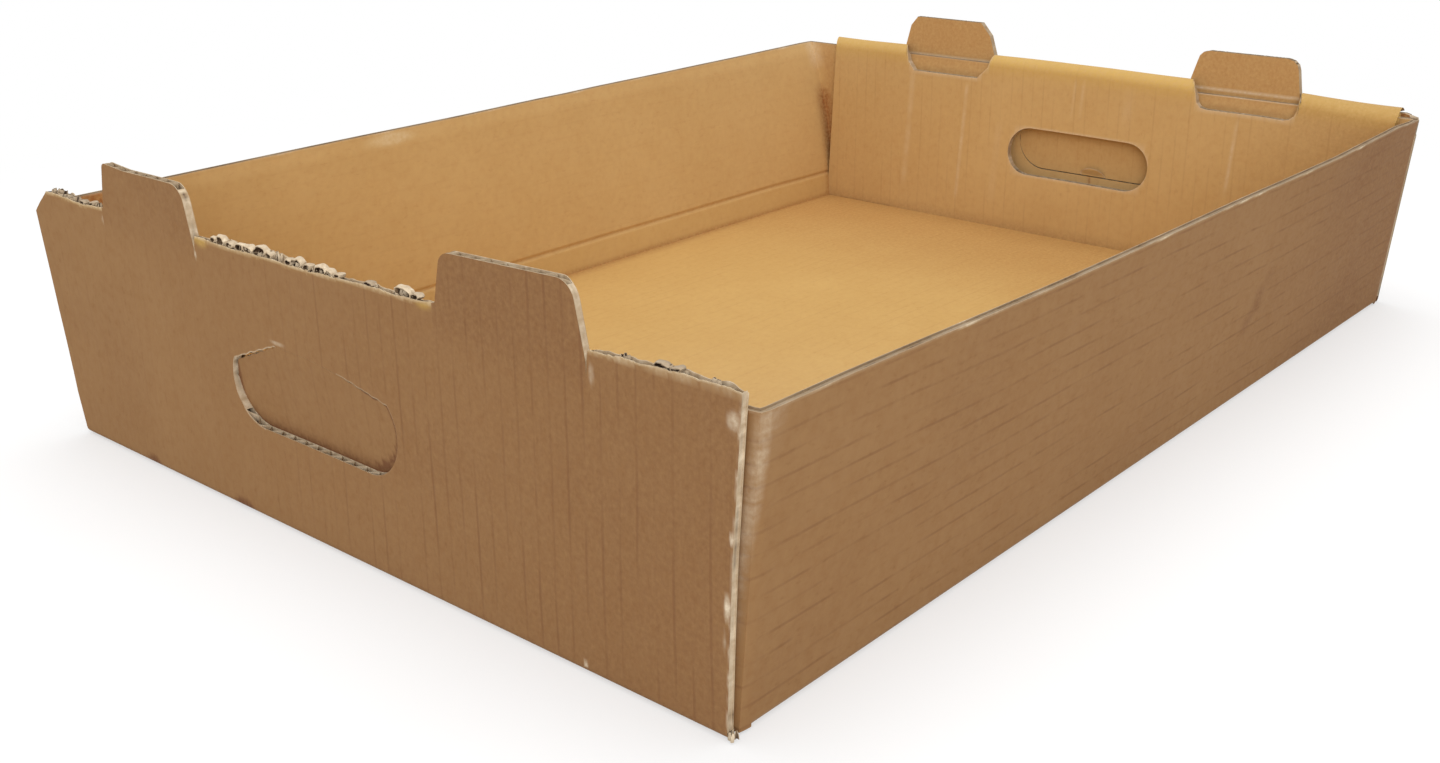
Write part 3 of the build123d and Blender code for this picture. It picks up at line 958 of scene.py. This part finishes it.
def make_torn_fibres():
    rng = random.Random(5)
    sheet = Sheet()
    for centre, half, height in TUFTS:
        dark = 0.45 if abs(centre) > 140 else 0.1
        for k in range(int(half * 0.9) + 1):
            y = centre + rng.uniform(-0.85, 0.85) * half
            radius = rng.uniform(0.9, 1.6) * (0.6 + height / 6)
            w = rng.uniform(radius + 0.5, 3.0 + (2.0 if 15 < y < 70 else 0.0))
            foot = place_on_near(y, along(TORN_RIM, y) - TUFT_ROOT, w)
            rise = TUFT_ROOT + height * rng.uniform(0.3, 1.0)
            add_curl(sheet, (centre, k), foot, radius, rise, rng.uniform(4.0, 6.0), rng, dark)
    for y, half_width, half_height, dark in LOOPS:
        add_loop(sheet, y, half_width, half_height, dark, rng)
    for k in range(4):
        foot = place_on_near(-HALF_WIDTH + rng.uniform(-1.0, 1.5), 0.3, rng.uniform(0.5, 3.0))
        add_curl(sheet, ("foot", k), foot, rng.uniform(0.6, 1.1), 3.0, 3.4, rng)
    return to_object(sheet, "torn_fibres", "tray", [cut_board])


# Far end wall: outer ply, roll-over and inner ply from one strip, with the tabs left standing

INNER_HALF = 195.5
INNER_TOP_SHIFT = -5.5                  # the inner ply sits askew, towards the right wall
INNER_FOOT_SHIFT = 1.0
ROLL_END = CREASE_Z + ROLL_LENGTH
PLY_END = ROLL_END + CREASE_Z - BOARD - 0.15
LOCK_END = PLY_END + BOARD
CORNER_DROP = 2.0                       # how far below the crease the outer ply's corners are cut
RIGHT_TRIM = 1.2                        # the outer ply is this much narrower at its right end
ROLL_SAG = 4.0                          # the roll hangs lower at its right end
ROLL_DIP = 1.5                          # and dips a little over its right half
# How far the strip reaches past the panel: at its left end, and at its right end where the
# roll starts and where it ends
LEFT_REACH = 4.0
RIGHT_REACH_START = 3.0
RIGHT_REACH_END = -5.0
# The left far tab has chamfered corners, and the right one rounded ones.
FAR_TABS = {
    104.0: {
        1: [(0, 26), (27.5, 26), (32.5, 20), (36, 6), (36, 0)],
        -1: [(0, 26), (23, 26), (30.5, 18), (35.5, 4), (36, 0)]},
    -105.0: {
        1: [(0, 26), (25, 26), (28.5, 25), (30.8, 22.5), (31.8, 19), (35, 6.5), (36, 0)],
        -1: [(0, 26), (23.5, 26), (27, 25), (29.6, 22.5), (30.7, 19), (32.6, 7), (34, 0)]},
}
RIGHT_TAB_HEIGHT = 0.9                  # the right tab is worn down, as a share of its notch's depth
TAB_LEAN = 0.02
# Pale lines where the inner ply was crushed: u, low z, high z, half width, strength
CRUSH_LINES = [
    (88.0, 16, 101, 1.5, 0.30), (132.0, 20, 108, 2.4, 0.20), (2.0, 84, 113, 1.2, 0.26),
    (8.0, 84, 113, 1.0, 0.20), (-101.5, 50, 101, 1.3, 0.32), (60.0, 20, 80, 3.0, 0.10),
    (-30.0, 80, 110, 4.0, 0.10)]

far_hole_low = slot_edge(FAR_HOLE_Y, FAR_HOLE_Z, HOLE_WIDTH, HOLE_HEIGHT, False)
far_hole_high = hand_hole_top(FAR_HOLE_Y, FAR_HOLE_Z, 15.0, 24.0)


def inner_hole_edge(upper):
    # An edge of the inner ply's hole, as a distance along the strip.
    edge = slot_edge(INNER_HOLE_Y, INNER_HOLE_Z, INNER_HOLE_WIDTH, INNER_HOLE_HEIGHT, upper)
    return lambda u, layer: ROLL_END + CREASE_Z - edge(u)


inner_hole_top = inner_hole_edge(True)
inner_hole_low = inner_hole_edge(False)


def ply_shift(v):
    if v <= CREASE_Z:
        return 0.0
    if v <= ROLL_END:
        return INNER_TOP_SHIFT * ease((v - CREASE_Z) / ROLL_LENGTH)
    down = (v - ROLL_END) / CREASE_Z
    return INNER_TOP_SHIFT + (INNER_FOOT_SHIFT - INNER_TOP_SHIFT) * clamp(down)


def place_far(u, v, w):
    y = u + ply_shift(v)
    left, right = max(u, 0), min(u, 0)
    if v <= CREASE_Z:
        y += widen(u, SIDE_SLOPE * v) * clamp((CREASE_Z - v) / CORNER_DROP) + widen(right, -RIGHT_TRIM)
        return (HALF_LENGTH - w, y, v)
    sag = ROLL_SAG * ease((-110 - u) / 80) + ROLL_DIP * ease((20 - u) / 110)
    if v < ROLL_END:
        angle = math.pi * (v - CREASE_Z) / ROLL_LENGTH
        radius = ROLL_RADIUS - w
        soft = 0.4 * rough(u / 50, 0.0, 6.0) * math.sin(angle)
        x = HALF_LENGTH - ROLL_RADIUS + radius * math.cos(angle)
        reach = RIGHT_REACH_START + (RIGHT_REACH_END - RIGHT_REACH_START) * angle / math.pi
        y += widen(left, LEFT_REACH) + widen(right, reach)
        return (x, y, CREASE_Z + (radius + soft) * math.sin(angle) - sag * math.sin(angle / 2))
    drop = v - ROLL_END
    down = drop / CREASE_Z
    y += widen(left, LEFT_REACH - 2.0 * down) + widen(right, RIGHT_REACH_END * (1 - clamp(down)))
    bow = 0.7 * rough(u / 80, v / 70, 11.0) * ease(drop / 30) * ease((CREASE_Z - drop) / 20)
    return (HALF_LENGTH - 2 * ROLL_RADIUS + w + bow, y, CREASE_Z - drop - sag * (1 - clamp(down)))


def notch_edge(centre):
    # Far edge of a tab's notch: the tab's own outline, laid along the strip.
    outline = tab_top(centre, FAR_TABS[centre])
    return lambda u, layer: outline(u) + KERF + 0.15 * rough(u / 2, centre, 3.0)


def tab_at(u):
    for centre, sides in FAR_TABS.items():
        start, stop = tab_ends(centre, sides)
        if start < u < stop:
            return centre
    return None


def far_top(u, layer):
    if abs(u) > INNER_HALF:
        return CREASE_Z
    return LOCK_END if abs(u) < LOCK_HALF - 1 else PLY_END


def far_spans(u):
    breaks = []
    if abs(u - FAR_HOLE_Y) < HOLE_WIDTH / 2:
        breaks.append((far_hole_low, far_hole_high))
    if tab_at(u) is not None:
        breaks.append((always(CREASE_Z), notch_edge(tab_at(u))))
    if abs(u - INNER_HOLE_Y) < INNER_HOLE_WIDTH / 2:
        breaks.append((inner_hole_top, inner_hole_low))
    edges = [always(FOOT_RADIUS), *[edge for pair in breaks for edge in pair], far_top]
    return list(zip(edges[::2], edges[1::2]))


def rim_of_holes(u, v):
    # 1 at the edge of the inner ply's hole and of the two notches, 0 a millimetre off.
    if abs(u - INNER_HOLE_Y) < INNER_HOLE_WIDTH / 2:
        gap = min(abs(v - inner_hole_top(u, "outer")), abs(v - inner_hole_low(u, "outer")))
        return ease(1.2 - gap)
    if tab_at(u) is not None:
        return ease(1.2 - abs(v - notch_edge(tab_at(u))(u, "outer")))
    return 0.0


def marks_far(u, v, w):
    if v <= CREASE_Z:
        nick = 0.8 * spot(u, v, -7.8, 43.5, 1.2, 4.5) if w > 0 else 0.0
        # Painted shade on the outer ply's inner face in the notches, and by the right corner.
        in_notch = 0.30 * ease((v - 90) / 6) if w > 0 else 0.0
        by_corner = ease((-192 - u) / 3)
        return (0.0, max(nick, in_notch, by_corner), 0.0, 0.3)
    z = CREASE_Z - (v - ROLL_END)
    pale = 0.0
    for y, low, high, width, strength in CRUSH_LINES:
        if abs(u - y) < 2 * width:
            line = ease(1.3 - abs(u - y) / width) * ease((z - low) / 8) * ease((high - z) / 8)
            pale += strength * line * clamp(0.7 + rough(y, z / 9, 2.0))
    pale = max(pale, 0.5 * rim_of_holes(u, v))
    # Painted shade where the roll leaves the crease, towards the ends and at the foot; gold is a painted
    # highlight over the roll's top.
    at_crease = 1 - ease((v - CREASE_Z) / 7)
    at_ends = 0.02 + (0.08 if u > 0 else 0.26) * ease((abs(u + 10) - 60) / 110)
    at_foot = 0.5 * ease((9 - z) / 5)
    painted_shade = max(at_crease, at_ends, at_foot) if w == 0 else 0.0
    gold = ease((v - CREASE_Z - 4) / 6) * ease((ROLL_END + 9 - v) / 12)
    return (pale, painted_shade, 0.6 * gold, 0.35)


def far_kind(v):
    return Sheet.OUTER if v < CREASE_Z else Sheet.ROLL


def far_columns():
    extra = [INNER_HALF, -INNER_HALF, LOCK_HALF - 1, 1 - LOCK_HALF]
    for y, low, high, width, strength in CRUSH_LINES:
        extra += [y - width, y, y + width]
    extra += hole_stops(FAR_HOLE_Y, HOLE_WIDTH, HOLE_HEIGHT)
    extra += hole_stops(INNER_HOLE_Y, INNER_HOLE_WIDTH, INNER_HOLE_HEIGHT)
    for centre, sides in FAR_TABS.items():
        extra += tab_stops(centre, sides)
    return stops(-HALF_WIDTH, HALF_WIDTH, FLUTE_STEP, *extra)


def make_far_end():
    sheet = Sheet()
    columns = far_columns()
    turning = [CREASE_Z + ROLL_LENGTH * k / 12 for k in range(13)]
    outer_rows = stops(FOOT_RADIUS, CREASE_Z, ROW_STEP, 40, 43.5, 45)
    rows = sorted({*outer_rows, *turning, *stops(ROLL_END, LOCK_END, ROW_STEP / 2)})
    Board(
        sheet, "far", columns, rows, far_spans, place_far, marks_far,
        phase=FAR_PHASE, outer_kind=far_kind, recess=0.4, shade=0.2, open_share=0.2)
    end_foot(sheet, "far", columns, 1, place_far, marks_far)
    for centre, sides in FAR_TABS.items():
        add_far_tab(sheet, centre, sides)
    return to_object(sheet, "far_end_board", "tray", [outside_ends, inside_ends, cut_board, rolled_over])


def add_far_tab(sheet, centre, sides):
    # A tab stands on from the outer ply, up through its notch.
    foot = CREASE_Z - 1
    columns = stops(*tab_ends(centre, sides), FLUTE_STEP, *tab_stops(centre, sides))
    rows = stops(foot, 140, 4, 112.2, 113, 113.8, 114.6)
    outline = tab_top(centre, sides)
    height = 1.0 if centre > 0 else RIGHT_TAB_HEIGHT

    def top(u, layer):
        return CREASE_Z + height * (outline(u) - CREASE_Z) + 0.15 * rough(u, 0, 1.0)

    def spans(u):
        return [(always(foot), top)]

    def place(u, v, w):
        return (HALF_LENGTH - w + TAB_LEAN * (v - CREASE_Z), u, v)

    def marks(u, v, w):
        crease = ease(1.3 - abs(v - CREASE_Z - 1))
        # The crease is painted pale, as a painted highlight where it catches the light.
        return (0.5 * crease, 0.34 if w > 0 else 0.0, 0.0, 0.2)

    Board(
        sheet, f"tab_{centre}", columns, rows, spans, place, marks,
        phase=FAR_PHASE, shade=0.35, open_share=0.2)


# Side walls with their corner flaps: a band in plan, carried up along the wall's lean

# How far out each wall's top is bowed: x, shift
LEFT_TOP_SHIFT = [
    (-300, -15.5), (-203, -10.5), (-120, -6.0), (-60, -4.0), (7, 0.2), (30, 0.8), (60, 3.2), (120, 5.5),
    (164, 8.2), (200, 10.0), (240, 12.7), (280, 15.2), (300, 15.0)]
RIGHT_TOP_SHIFT = [(-300, 0.0), (-258, 0.6), (-120, 4.1), (45, 5.1), (155, 6.1), (250, 3.0), (300, -0.3)]
SHARP_FOLD = 0.6                        # 0 for a round fold, 1 for a square one
BAND_FLAP = HALF_WIDTH - CORNER_RADIUS - FLAP_END_Y
BAND_ARC = math.pi / 2 * CORNER_RADIUS
BAND_ARC_STEPS = 8
BAND_WALL = 2 * (FLAP_FACE - CORNER_RADIUS)
BAND_END = 2 * BAND_FLAP + 2 * BAND_ARC + BAND_WALL
WALL_START = BAND_FLAP + BAND_ARC
FLAP_LOW = 0.6                          # the corner flaps stop this far above the tray's underside
CREASE_DEPTH = 0.9
TOP_THINNED = 0.18                      # how much a wall's top edge is pressed together


def band(v, w):
    # Plan position of a point on the band, for the wall at +Y, going from the near flap's end.
    corner_x = FLAP_FACE - CORNER_RADIUS
    corner_y = HALF_WIDTH - CORNER_RADIUS
    if v > BAND_END / 2:
        x, y = band(BAND_END - v, w)
        return -x, y
    if v < BAND_FLAP:
        return -FLAP_FACE + w, FLAP_END_Y + v
    if v < WALL_START:
        angle = (v - BAND_FLAP) / CORNER_RADIUS
        side, ahead = math.cos(angle), math.sin(angle)
        radius = (CORNER_RADIUS - w) * (1 + SHARP_FOLD * (1 / max(side, ahead) - 1))
        return -corner_x - radius * side, corner_y + radius * ahead
    return -corner_x + (v - BAND_FLAP - BAND_ARC), HALF_WIDTH - w


def is_on_flap(y):
    return y < HALF_WIDTH - CORNER_RADIUS


def shift_at(x, y, u, top_shift):
    # Sideways bow of a wall. A corner flap keeps its free end where it is.
    power = 1.15 + 1.2 * ease((x - 220) / 70)
    bow = along(top_shift, x) * (u / SIDE_HEIGHT) ** power + SIDE_SLOPE * u
    return bow * ease((y - FLAP_END_Y) / 118)


def right_wall_dip(x, y):
    # The right wall's top edge sinks towards its far corner, and so does the flap behind it.
    if x <= 0:
        return 0.0
    dip = 2.8 * ease((x - 245) / 45)
    if is_on_flap(y):
        dip = max(dip, 2.4 * spot(y, 0, 98, 0, 42, 1))
    return dip


def worn_fold(x, v, u):
    # Pale streaks where a corner's fold is rubbed, wider and stronger towards the top.
    worn = BAND_FLAP + BAND_ARC * max(0.15, 0.75 - 0.0115 * (SIDE_HEIGHT - u))
    away = abs(min(v, BAND_END - v) - worn)
    fold = ease(1.2 * (1 - away / (1.8 + 3.4 * u / SIDE_HEIGHT)))
    streak = clamp(0.75 + 1.0 * rough(u / 1.6, v / 60, 1.0) + 0.4 * rough(u / 9, 0.0, 6.0))
    strength = (0.30 if x < 0 else 0.05) * (0.15 + 0.85 * ease((u - 20) / 50))
    return strength * fold * streak


def make_side(name, side):
    top_shift = LEFT_TOP_SHIFT if side > 0 else RIGHT_TOP_SHIFT

    def place(u, v, w):
        thin = 1 - TOP_THINNED * ease((u - 105) / 8)
        x, y = band(v, w if w < 0.5 else w * thin)
        bow = shift_at(x, y, u, top_shift)
        groove = CREASE_DEPTH * ease(1 - abs(u - WALL_CREASE_Z) / 2.0)
        on_wall = abs(x) < FLAP_FACE - CORNER_RADIUS
        inset = groove * (w / BOARD) if on_wall else 0.0
        wave = 0.8 * rough(x / 110, u / 80, 30.0 * side) * clamp(u / 25) * clamp((290 - abs(x)) / 40)
        dip = right_wall_dip(x, y) if side < 0 else 0.0
        return (x, side * (y + bow + inset + wave), u - dip * (u / SIDE_HEIGHT) ** 8)

    def outer_marks(x, u, v, top, nick):
        pale = max(top * (0.15 + 0.7 * nick), worn_fold(x, v, u))
        dark = 0.06 + 0.36 * ease((x - 60) / 200) + 0.10 * clamp(2 * rough(x / 70, u / 40, 12.0))
        if side < 0:
            # a slanting smudge, with a pale scuff at its foot
            tilted = x - 0.58 * (u - 50)
            dark += 0.40 * spot(tilted, u, 86, 52, 7, 22)
            pale = max(pale, 0.55 * spot(x, u, 85.5, 47.4, 1.6, 1.8))
        return (pale, dark, 0.3 * top * nick, 0.9)

    def inner_marks(x, y, u, top, nick):
        on_flap = is_on_flap(y)
        crease = ease(1 - abs(u - WALL_CREASE_Z) / 1.6) * (not on_flap)
        # Painted highlight: golden below the crease, and pale and golden on a raised spot near the left
        # wall's top.
        below = ease((WALL_CREASE_Z - u) / 3) * 0.15
        raised = spot(x, u, -108, 109, 20, 5) * (side > 0)
        pale = max(top * (0.15 + 0.7 * nick), 0.12 * (on_flap and x < 0), 0.4 * raised)
        # Painted shade in the crease, on the far corner flaps between the far end's plies, and along the
        # foot.
        dark = max(0.25 * crease, 0.30 * (on_flap and x > 0), 0.5 * ease((8 - u) / 4) * (x > -200))
        # Painted shadow on the left wall, cast by the near-left corner.
        if side > 0 and x < -262 and not on_flap:
            dark = max(dark, 0.8 * ease((-262 - x) / 12) * ease((u - 90) / 10))
        if side > 0 and x > 278:
            # the far-left fold is rubbed pale at its top, and lower down it lies in a gap painted dark as
            # shadow
            by_fold = ease((y - 186) / 6)
            pale = max(pale, 0.34 * ease((u - 92) / 10) * ease((x - 284) / 4) * by_fold)
            dark = max(dark, 0.9 * ease((88 - u) / 14) * ease((x - 286) / 4) * by_fold)
        return (pale, dark, below + 0.5 * raised, 0.12)

    def marks(u, v, w):
        x, y = band(v, w)
        top = ease((u - SIDE_HEIGHT + 1.1) / 1.0)
        nick = clamp(3.0 * (rough(x / 9, 1.0, 3.0 + side) - 0.16))
        if w == 0:
            return outer_marks(x, u, v, top, nick)
        return inner_marks(x, y, u, top, nick)

    def spans(u):
        if u < FOOT_RADIUS:
            return [(always(0.0), always(WALL_START)), (always(BAND_END - WALL_START), always(BAND_END))]
        return [(always(0.0), always(BAND_END))]

    sheet = Sheet()
    by_crease = (18, 19, 20, 21, 22, 23, 24)
    by_top = (111, 112, 112.5)
    columns = stops(FLAP_LOW, SIDE_HEIGHT, FLUTE_PITCH / 6, FOOT_RADIUS, *by_crease, *by_top)
    arcs = [BAND_FLAP + BAND_ARC * k / BAND_ARC_STEPS for k in range(BAND_ARC_STEPS + 1)]
    rows = sorted({*stops(0, BAND_END, 8), *arcs, *[BAND_END - a for a in arcs]})
    Board(sheet, name, columns, rows, spans, place, marks, recess=0.8, shade=0.45)
    side_foot(sheet, name, rows, place, marks, side)
    return to_object(sheet, name, "tray", [outside_sides, inside_sides, cut_board])


def side_foot(sheet, tag, rows, place, marks, side):
    def start(v):
        key = (tag, round(FOOT_RADIUS, 3), round(v, 3), 0.0)
        return sheet.point(key, place(FOOT_RADIUS, v, 0.0), marks(FOOT_RADIUS, v, 0.0))

    def turned(v, turn):
        x, y = band(v, 0.0)
        inward = FOOT_RADIUS * (1 - math.cos(turn))
        z = FOOT_RADIUS * (1 - math.sin(turn))
        return (x, side * (y - inward), z), (0.08, 0.1, 0.0, 0.3)

    straight = [v for v in rows if WALL_START - 0.01 <= v <= BAND_END - WALL_START + 0.01]
    foot_turn(sheet, tag, straight, start, turned)


# Floor

SLOT_INNER_X = HALF_LENGTH - 2 * ROLL_RADIUS
FLOOR_WAVE = 0.6


def make_floor():
    end_x = HALF_LENGTH - FOOT_RADIUS
    end_y = HALF_WIDTH - FOOT_RADIUS

    def place(u, v, w):
        inside_u, inside_v = clamp((190 - abs(u)) / 30), clamp((280 - abs(v)) / 30)
        rise = FLOOR_WAVE * rough(u / 120, v / 120, 40.0) * inside_u * inside_v
        return (v, u, w + max(-0.1, rise) * (w / BOARD))

    def marks(u, v, w):
        # Painted shade along the side walls and towards the far end, and painted light towards the near
        # right.
        edge = max(0.25 * ease((abs(u) - 186) / 8), 0.36 * ease((v - 90) / 170))
        edge = max(edge, 0.5 * ease((u - 190) / 5))
        light = 0.18 * ease((150 - u) / 260) * ease((120 - v) / 380)
        return (light if w == BOARD else 0.0, edge, 0.0, 0.25)

    def spans(u):
        reach = SLOT_INNER_X if abs(u) < LOCK_HALF else end_x
        return [(always(-reach), always(reach))]

    sheet = Sheet()
    columns = stops(-end_y, end_y, FLUTE_PITCH / 4, -LOCK_HALF, LOCK_HALF)
    rows = stops(-end_x, end_x, 20)
    Board(sheet, "floor", columns, rows, spans, place, marks)
    return to_object(sheet, "floor_board", "tray", [outside_ends, floor_top, cut_board])


# Hand-hole flaps

SOFT_CREASE = 9.0                       # how far below the hinge the near flap is bent
NEAR_HINGE_Z = NEAR_HOLE_Z + HOLE_HEIGHT
LIP_CLEARANCE = 0.18


def place_near_flap(u, v, w):
    # Turned about its hinge, with a soft crease that stays flush at the top.
    arm = Matrix.Rotation(-PUSHED_IN, 3, "Y") @ Vector((w - BOARD, 0.0, v - NEAR_HINGE_Z))
    turned = Vector((-HALF_LENGTH + BOARD, u, NEAR_HINGE_Z)) + arm
    flush = Vector((-HALF_LENGTH + w, u, v))
    bent = flush.lerp(turned, ease((NEAR_HINGE_Z - v) / SOFT_CREASE))
    return (bent.x + near_twist(u, v), bent.y, bent.z)


def narrowed(u):
    # The flap is a little shorter than its hole at the left end.
    return u + 0.025 * max(0.0, u - NEAR_HOLE_Y)


def hinge_kerf(away):
    # The flap hangs on by its hinge and is torn free on each side of it.
    return 0.06 + 0.2 * clamp((abs(away) - 20) / 4) + 0.15 * clamp((abs(away) - 42) / 8)


def make_near_flap():
    def low(u, layer):
        return near_hole_slot(narrowed(u)) + LIP_CLEARANCE

    def high(u, layer):
        return near_hole_high(narrowed(u)) - hinge_kerf(u - NEAR_HOLE_Y)

    def marks(u, v, w):
        above_lip = v - near_hole_slot(u)
        # Painted shade: the flap is a little dark all over, darkest in a line just above the lip and at
        # its left end.
        dark = 0.16 + 0.45 * ease((7 - above_lip) / 7) + 1.2 * ease((1.1 - above_lip) / 0.7)
        dark = max(dark, 1.1 * ease((u - 59.6) / 1.6))
        # painted shadow in the kerf: a thin dark line round the right end, and a dark nick where it tears
        radius = HOLE_HEIGHT / 2
        beyond = max(0.0, NEAR_HOLE_Y - u - HOLE_WIDTH / 2 + radius)
        if beyond > 0:
            inside = radius - math.hypot(beyond, v - NEAR_HOLE_Z - radius)
            hidden = 0.13 * (NEAR_HINGE_Z - v)
            dark = max(dark, ease((hidden + 0.9 - inside) / 0.6))
        if -31 < u < -22 and abs(v - high(u, None)) < 0.1:
            dark = 1.0
        return (0.0, dark if w == 0 else 0.0, 0.0, 0.4)

    # It rides on no single body.
    return make_flap("near_flap_board", None, NEAR_HOLE_Y, low, high, place_near_flap, marks, NEAR_PHASE)


def make_far_flap():
    def low(u, layer):
        return far_hole_low(u) + 1.6 * KERF

    def high(u, layer):
        return far_hole_high(u) - KERF

    def place(u, v, w):
        return (HALF_LENGTH - w, u, v)

    def marks(u, v, w):
        # Painted shade on the inner face, which lies back behind the inner ply.
        return (0.0, 0.12 if w > 0 else 0.0, 0.0, 0.3)

    return make_flap(
        "far_flap_board", "far_flap", FAR_HOLE_Y, low, high, place, marks, FAR_PHASE, add_half_moon)


def add_half_moon(sheet):
    # A half-moon of the far flap's inner liner, lifted at its curved edge.
    centre_y, foot_z, half, rise, lift = -10.0, FAR_HOLE_Z + 0.8, 9.0, 5.6, 2.4
    rings, turns = 5, 16

    def at(k, ring, side):
        part, angle = ring / rings, math.pi * k / turns
        y = centre_y + half * part * math.cos(angle)
        z = foot_z + rise * part * math.sin(angle)
        out = lift * ease(part * math.sin(angle)) + 0.3 * (1 - side)
        # Its back is painted dark, as painted shade under the lifted paper.
        dark = 0.0 if side == 0 else 0.5
        pale = 0.5 * ease((part - 0.8) * 5)
        place = (HALF_LENGTH - BOARD - out, y, z)
        return sheet.point(("moon", ring, k, side), place, (pale, dark, 0.0, 0.0))

    paper_skin(sheet, at, turns, rings, (rings,), (Sheet.INNER, Sheet.CORE))


def make_flap(name, body, centre, low, high, place, marks, phase, extras=None):
    def spans(u):
        return [(low, high)]

    half = HOLE_WIDTH / 2 - KERF
    round_ends = hole_stops(centre, 2 * half, HOLE_HEIGHT)
    columns = stops(centre - half, centre + half, FLUTE_STEP, *round_ends)
    sheet = Sheet()
    Board(sheet, name, columns, stops(30, 100, 2.5), spans, place, marks, phase)
    if extras:
        extras(sheet)
    return to_object(sheet, name, body, [outside_ends, inside_ends, cut_board])


near_end = make_near_end()
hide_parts("tray_sheet")
make_torn_fibres()
make_far_end()
make_side("left_side_board", 1)
make_side("right_side_board", -1)
make_floor()
near_flap = make_near_flap()
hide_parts("near_hand_hole_flap")
# The flap's top is the panel's own sheet, bent at a soft crease, and stays with the panel.
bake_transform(near_flap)
far_flap = make_far_flap()
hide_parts("far_hand_hole_flap")


# Stage, light and camera, in metres

STAGE_REACH = 6.0
STAGE_DROP = 0.0004                     # keeps the stage clear of the tray's underside
# How far from the middle the stage starts to fade and is white, and how white it is before that
FADE_START, FADE_END, FADE_LEAST = 0.36, 0.80, 0.5
CAMERA_PLACE = Vector((-0.61985, -0.46837, 0.28114))
CAMERA_YAW = math.radians(40.399)
CAMERA_DOWN = math.radians(20.789)
CAMERA_ROLL = math.radians(-0.069)
CAMERA_LENS = 38.614
SENSOR_WIDTH = 36.0
# Name, place, what it points at, width, watts
LAMPS = [
    ("overhead", (0.1, 0.1, 2.4), (0, 0, 0), 1.8, 22),
    ("front", (-1.9, -1.7, 1.1), (0, 0, 0.05), 1.6, 27)]


def grey(value):
    return (value, value, value)


def make_stage():
    mesh = bpy.data.meshes.new("stage_floor")
    corners = [(x * STAGE_REACH, y * STAGE_REACH, 0) for x, y in ((-1, -1), (1, -1), (1, 1), (-1, 1))]
    mesh.from_pydata(corners, [], [(0, 1, 2, 3)])
    floor = bpy.data.objects.new("stage_floor", mesh)
    floor.location.z = -STAGE_DROP
    bpy.context.scene.collection.objects.link(floor)
    material = bpy.data.materials.new("stage_white")
    tree = Tree(material)
    shader = tree.nodes["Principled BSDF"]
    shader.inputs["Roughness"].default_value = 1.0
    shader.inputs["Specular IOR Level"].default_value = 0.0
    seen = tree.seen_directly()
    tree.links.new(tree.mix(seen, grey(0.70), grey(0.97)), shader.inputs["Base Color"])
    # away from the tray the floor fades into plain white
    coords = tree.nodes.new("ShaderNodeTexCoord")
    away = tree.nodes.new("ShaderNodeVectorMath")
    away.operation = "LENGTH"
    tree.links.new(coords.outputs["Object"], away.inputs[0])
    fade = tree.spread(
        away.outputs["Value"], FADE_START, FADE_END, to_low=FADE_LEAST, curve="SMOOTHSTEP")
    white = tree.nodes.new("ShaderNodeEmission")
    white.inputs["Color"].default_value = (1.0, 1.0, 1.0, 1)
    blend = tree.nodes.new("ShaderNodeMixShader")
    tree.links.new(tree.maths("MULTIPLY", fade, seen), blend.inputs[0])
    tree.links.new(shader.outputs[0], blend.inputs[1])
    tree.links.new(white.outputs[0], blend.inputs[2])
    tree.links.new(blend.outputs[0], tree.nodes["Material Output"].inputs["Surface"])
    mesh.materials.append(material)


def make_world():
    world = bpy.data.worlds.new("studio")
    bpy.context.scene.world = world
    tree = Tree(world)
    background = tree.nodes["Background"]
    background.inputs["Strength"].default_value = 1.0
    colour = tree.mix(tree.seen_directly(), grey(0.72), grey(1.0))
    tree.links.new(colour, background.inputs["Color"])


def make_lamp(name, place, target, size, watts):
    data = bpy.data.lights.new(name, "AREA")
    data.shape = "DISK"
    data.size = size
    data.energy = watts
    lamp = bpy.data.objects.new(name, data)
    lamp.location = place
    lamp.rotation_euler = (Vector(target) - Vector(place)).to_track_quat("-Z", "Y").to_euler()
    bpy.context.scene.collection.objects.link(lamp)


def make_camera():
    data = bpy.data.cameras.new("camera")
    data.sensor_width = SENSOR_WIDTH
    data.lens = CAMERA_LENS
    data.clip_start = 0.05
    data.clip_end = 50
    camera = bpy.data.objects.new("camera", data)
    ahead = Vector((
        math.cos(CAMERA_YAW) * math.cos(CAMERA_DOWN),
        math.sin(CAMERA_YAW) * math.cos(CAMERA_DOWN),
        -math.sin(CAMERA_DOWN)))
    right = ahead.cross(Vector((0, 0, 1))).normalized()
    up = right.cross(ahead)
    turned_right = math.cos(CAMERA_ROLL) * right + math.sin(CAMERA_ROLL) * up
    turned_up = math.cos(CAMERA_ROLL) * up - math.sin(CAMERA_ROLL) * right
    camera.matrix_world = Matrix.Translation(CAMERA_PLACE) @ Matrix(
        (turned_right, turned_up, -ahead)).transposed().to_4x4()
    bpy.context.scene.collection.objects.link(camera)
    bpy.context.scene.camera = camera


make_stage()
make_world()
for lamp in LAMPS:
    make_lamp(*lamp)
make_camera()
bpy.context.scene.view_settings.view_transform = "Standard"
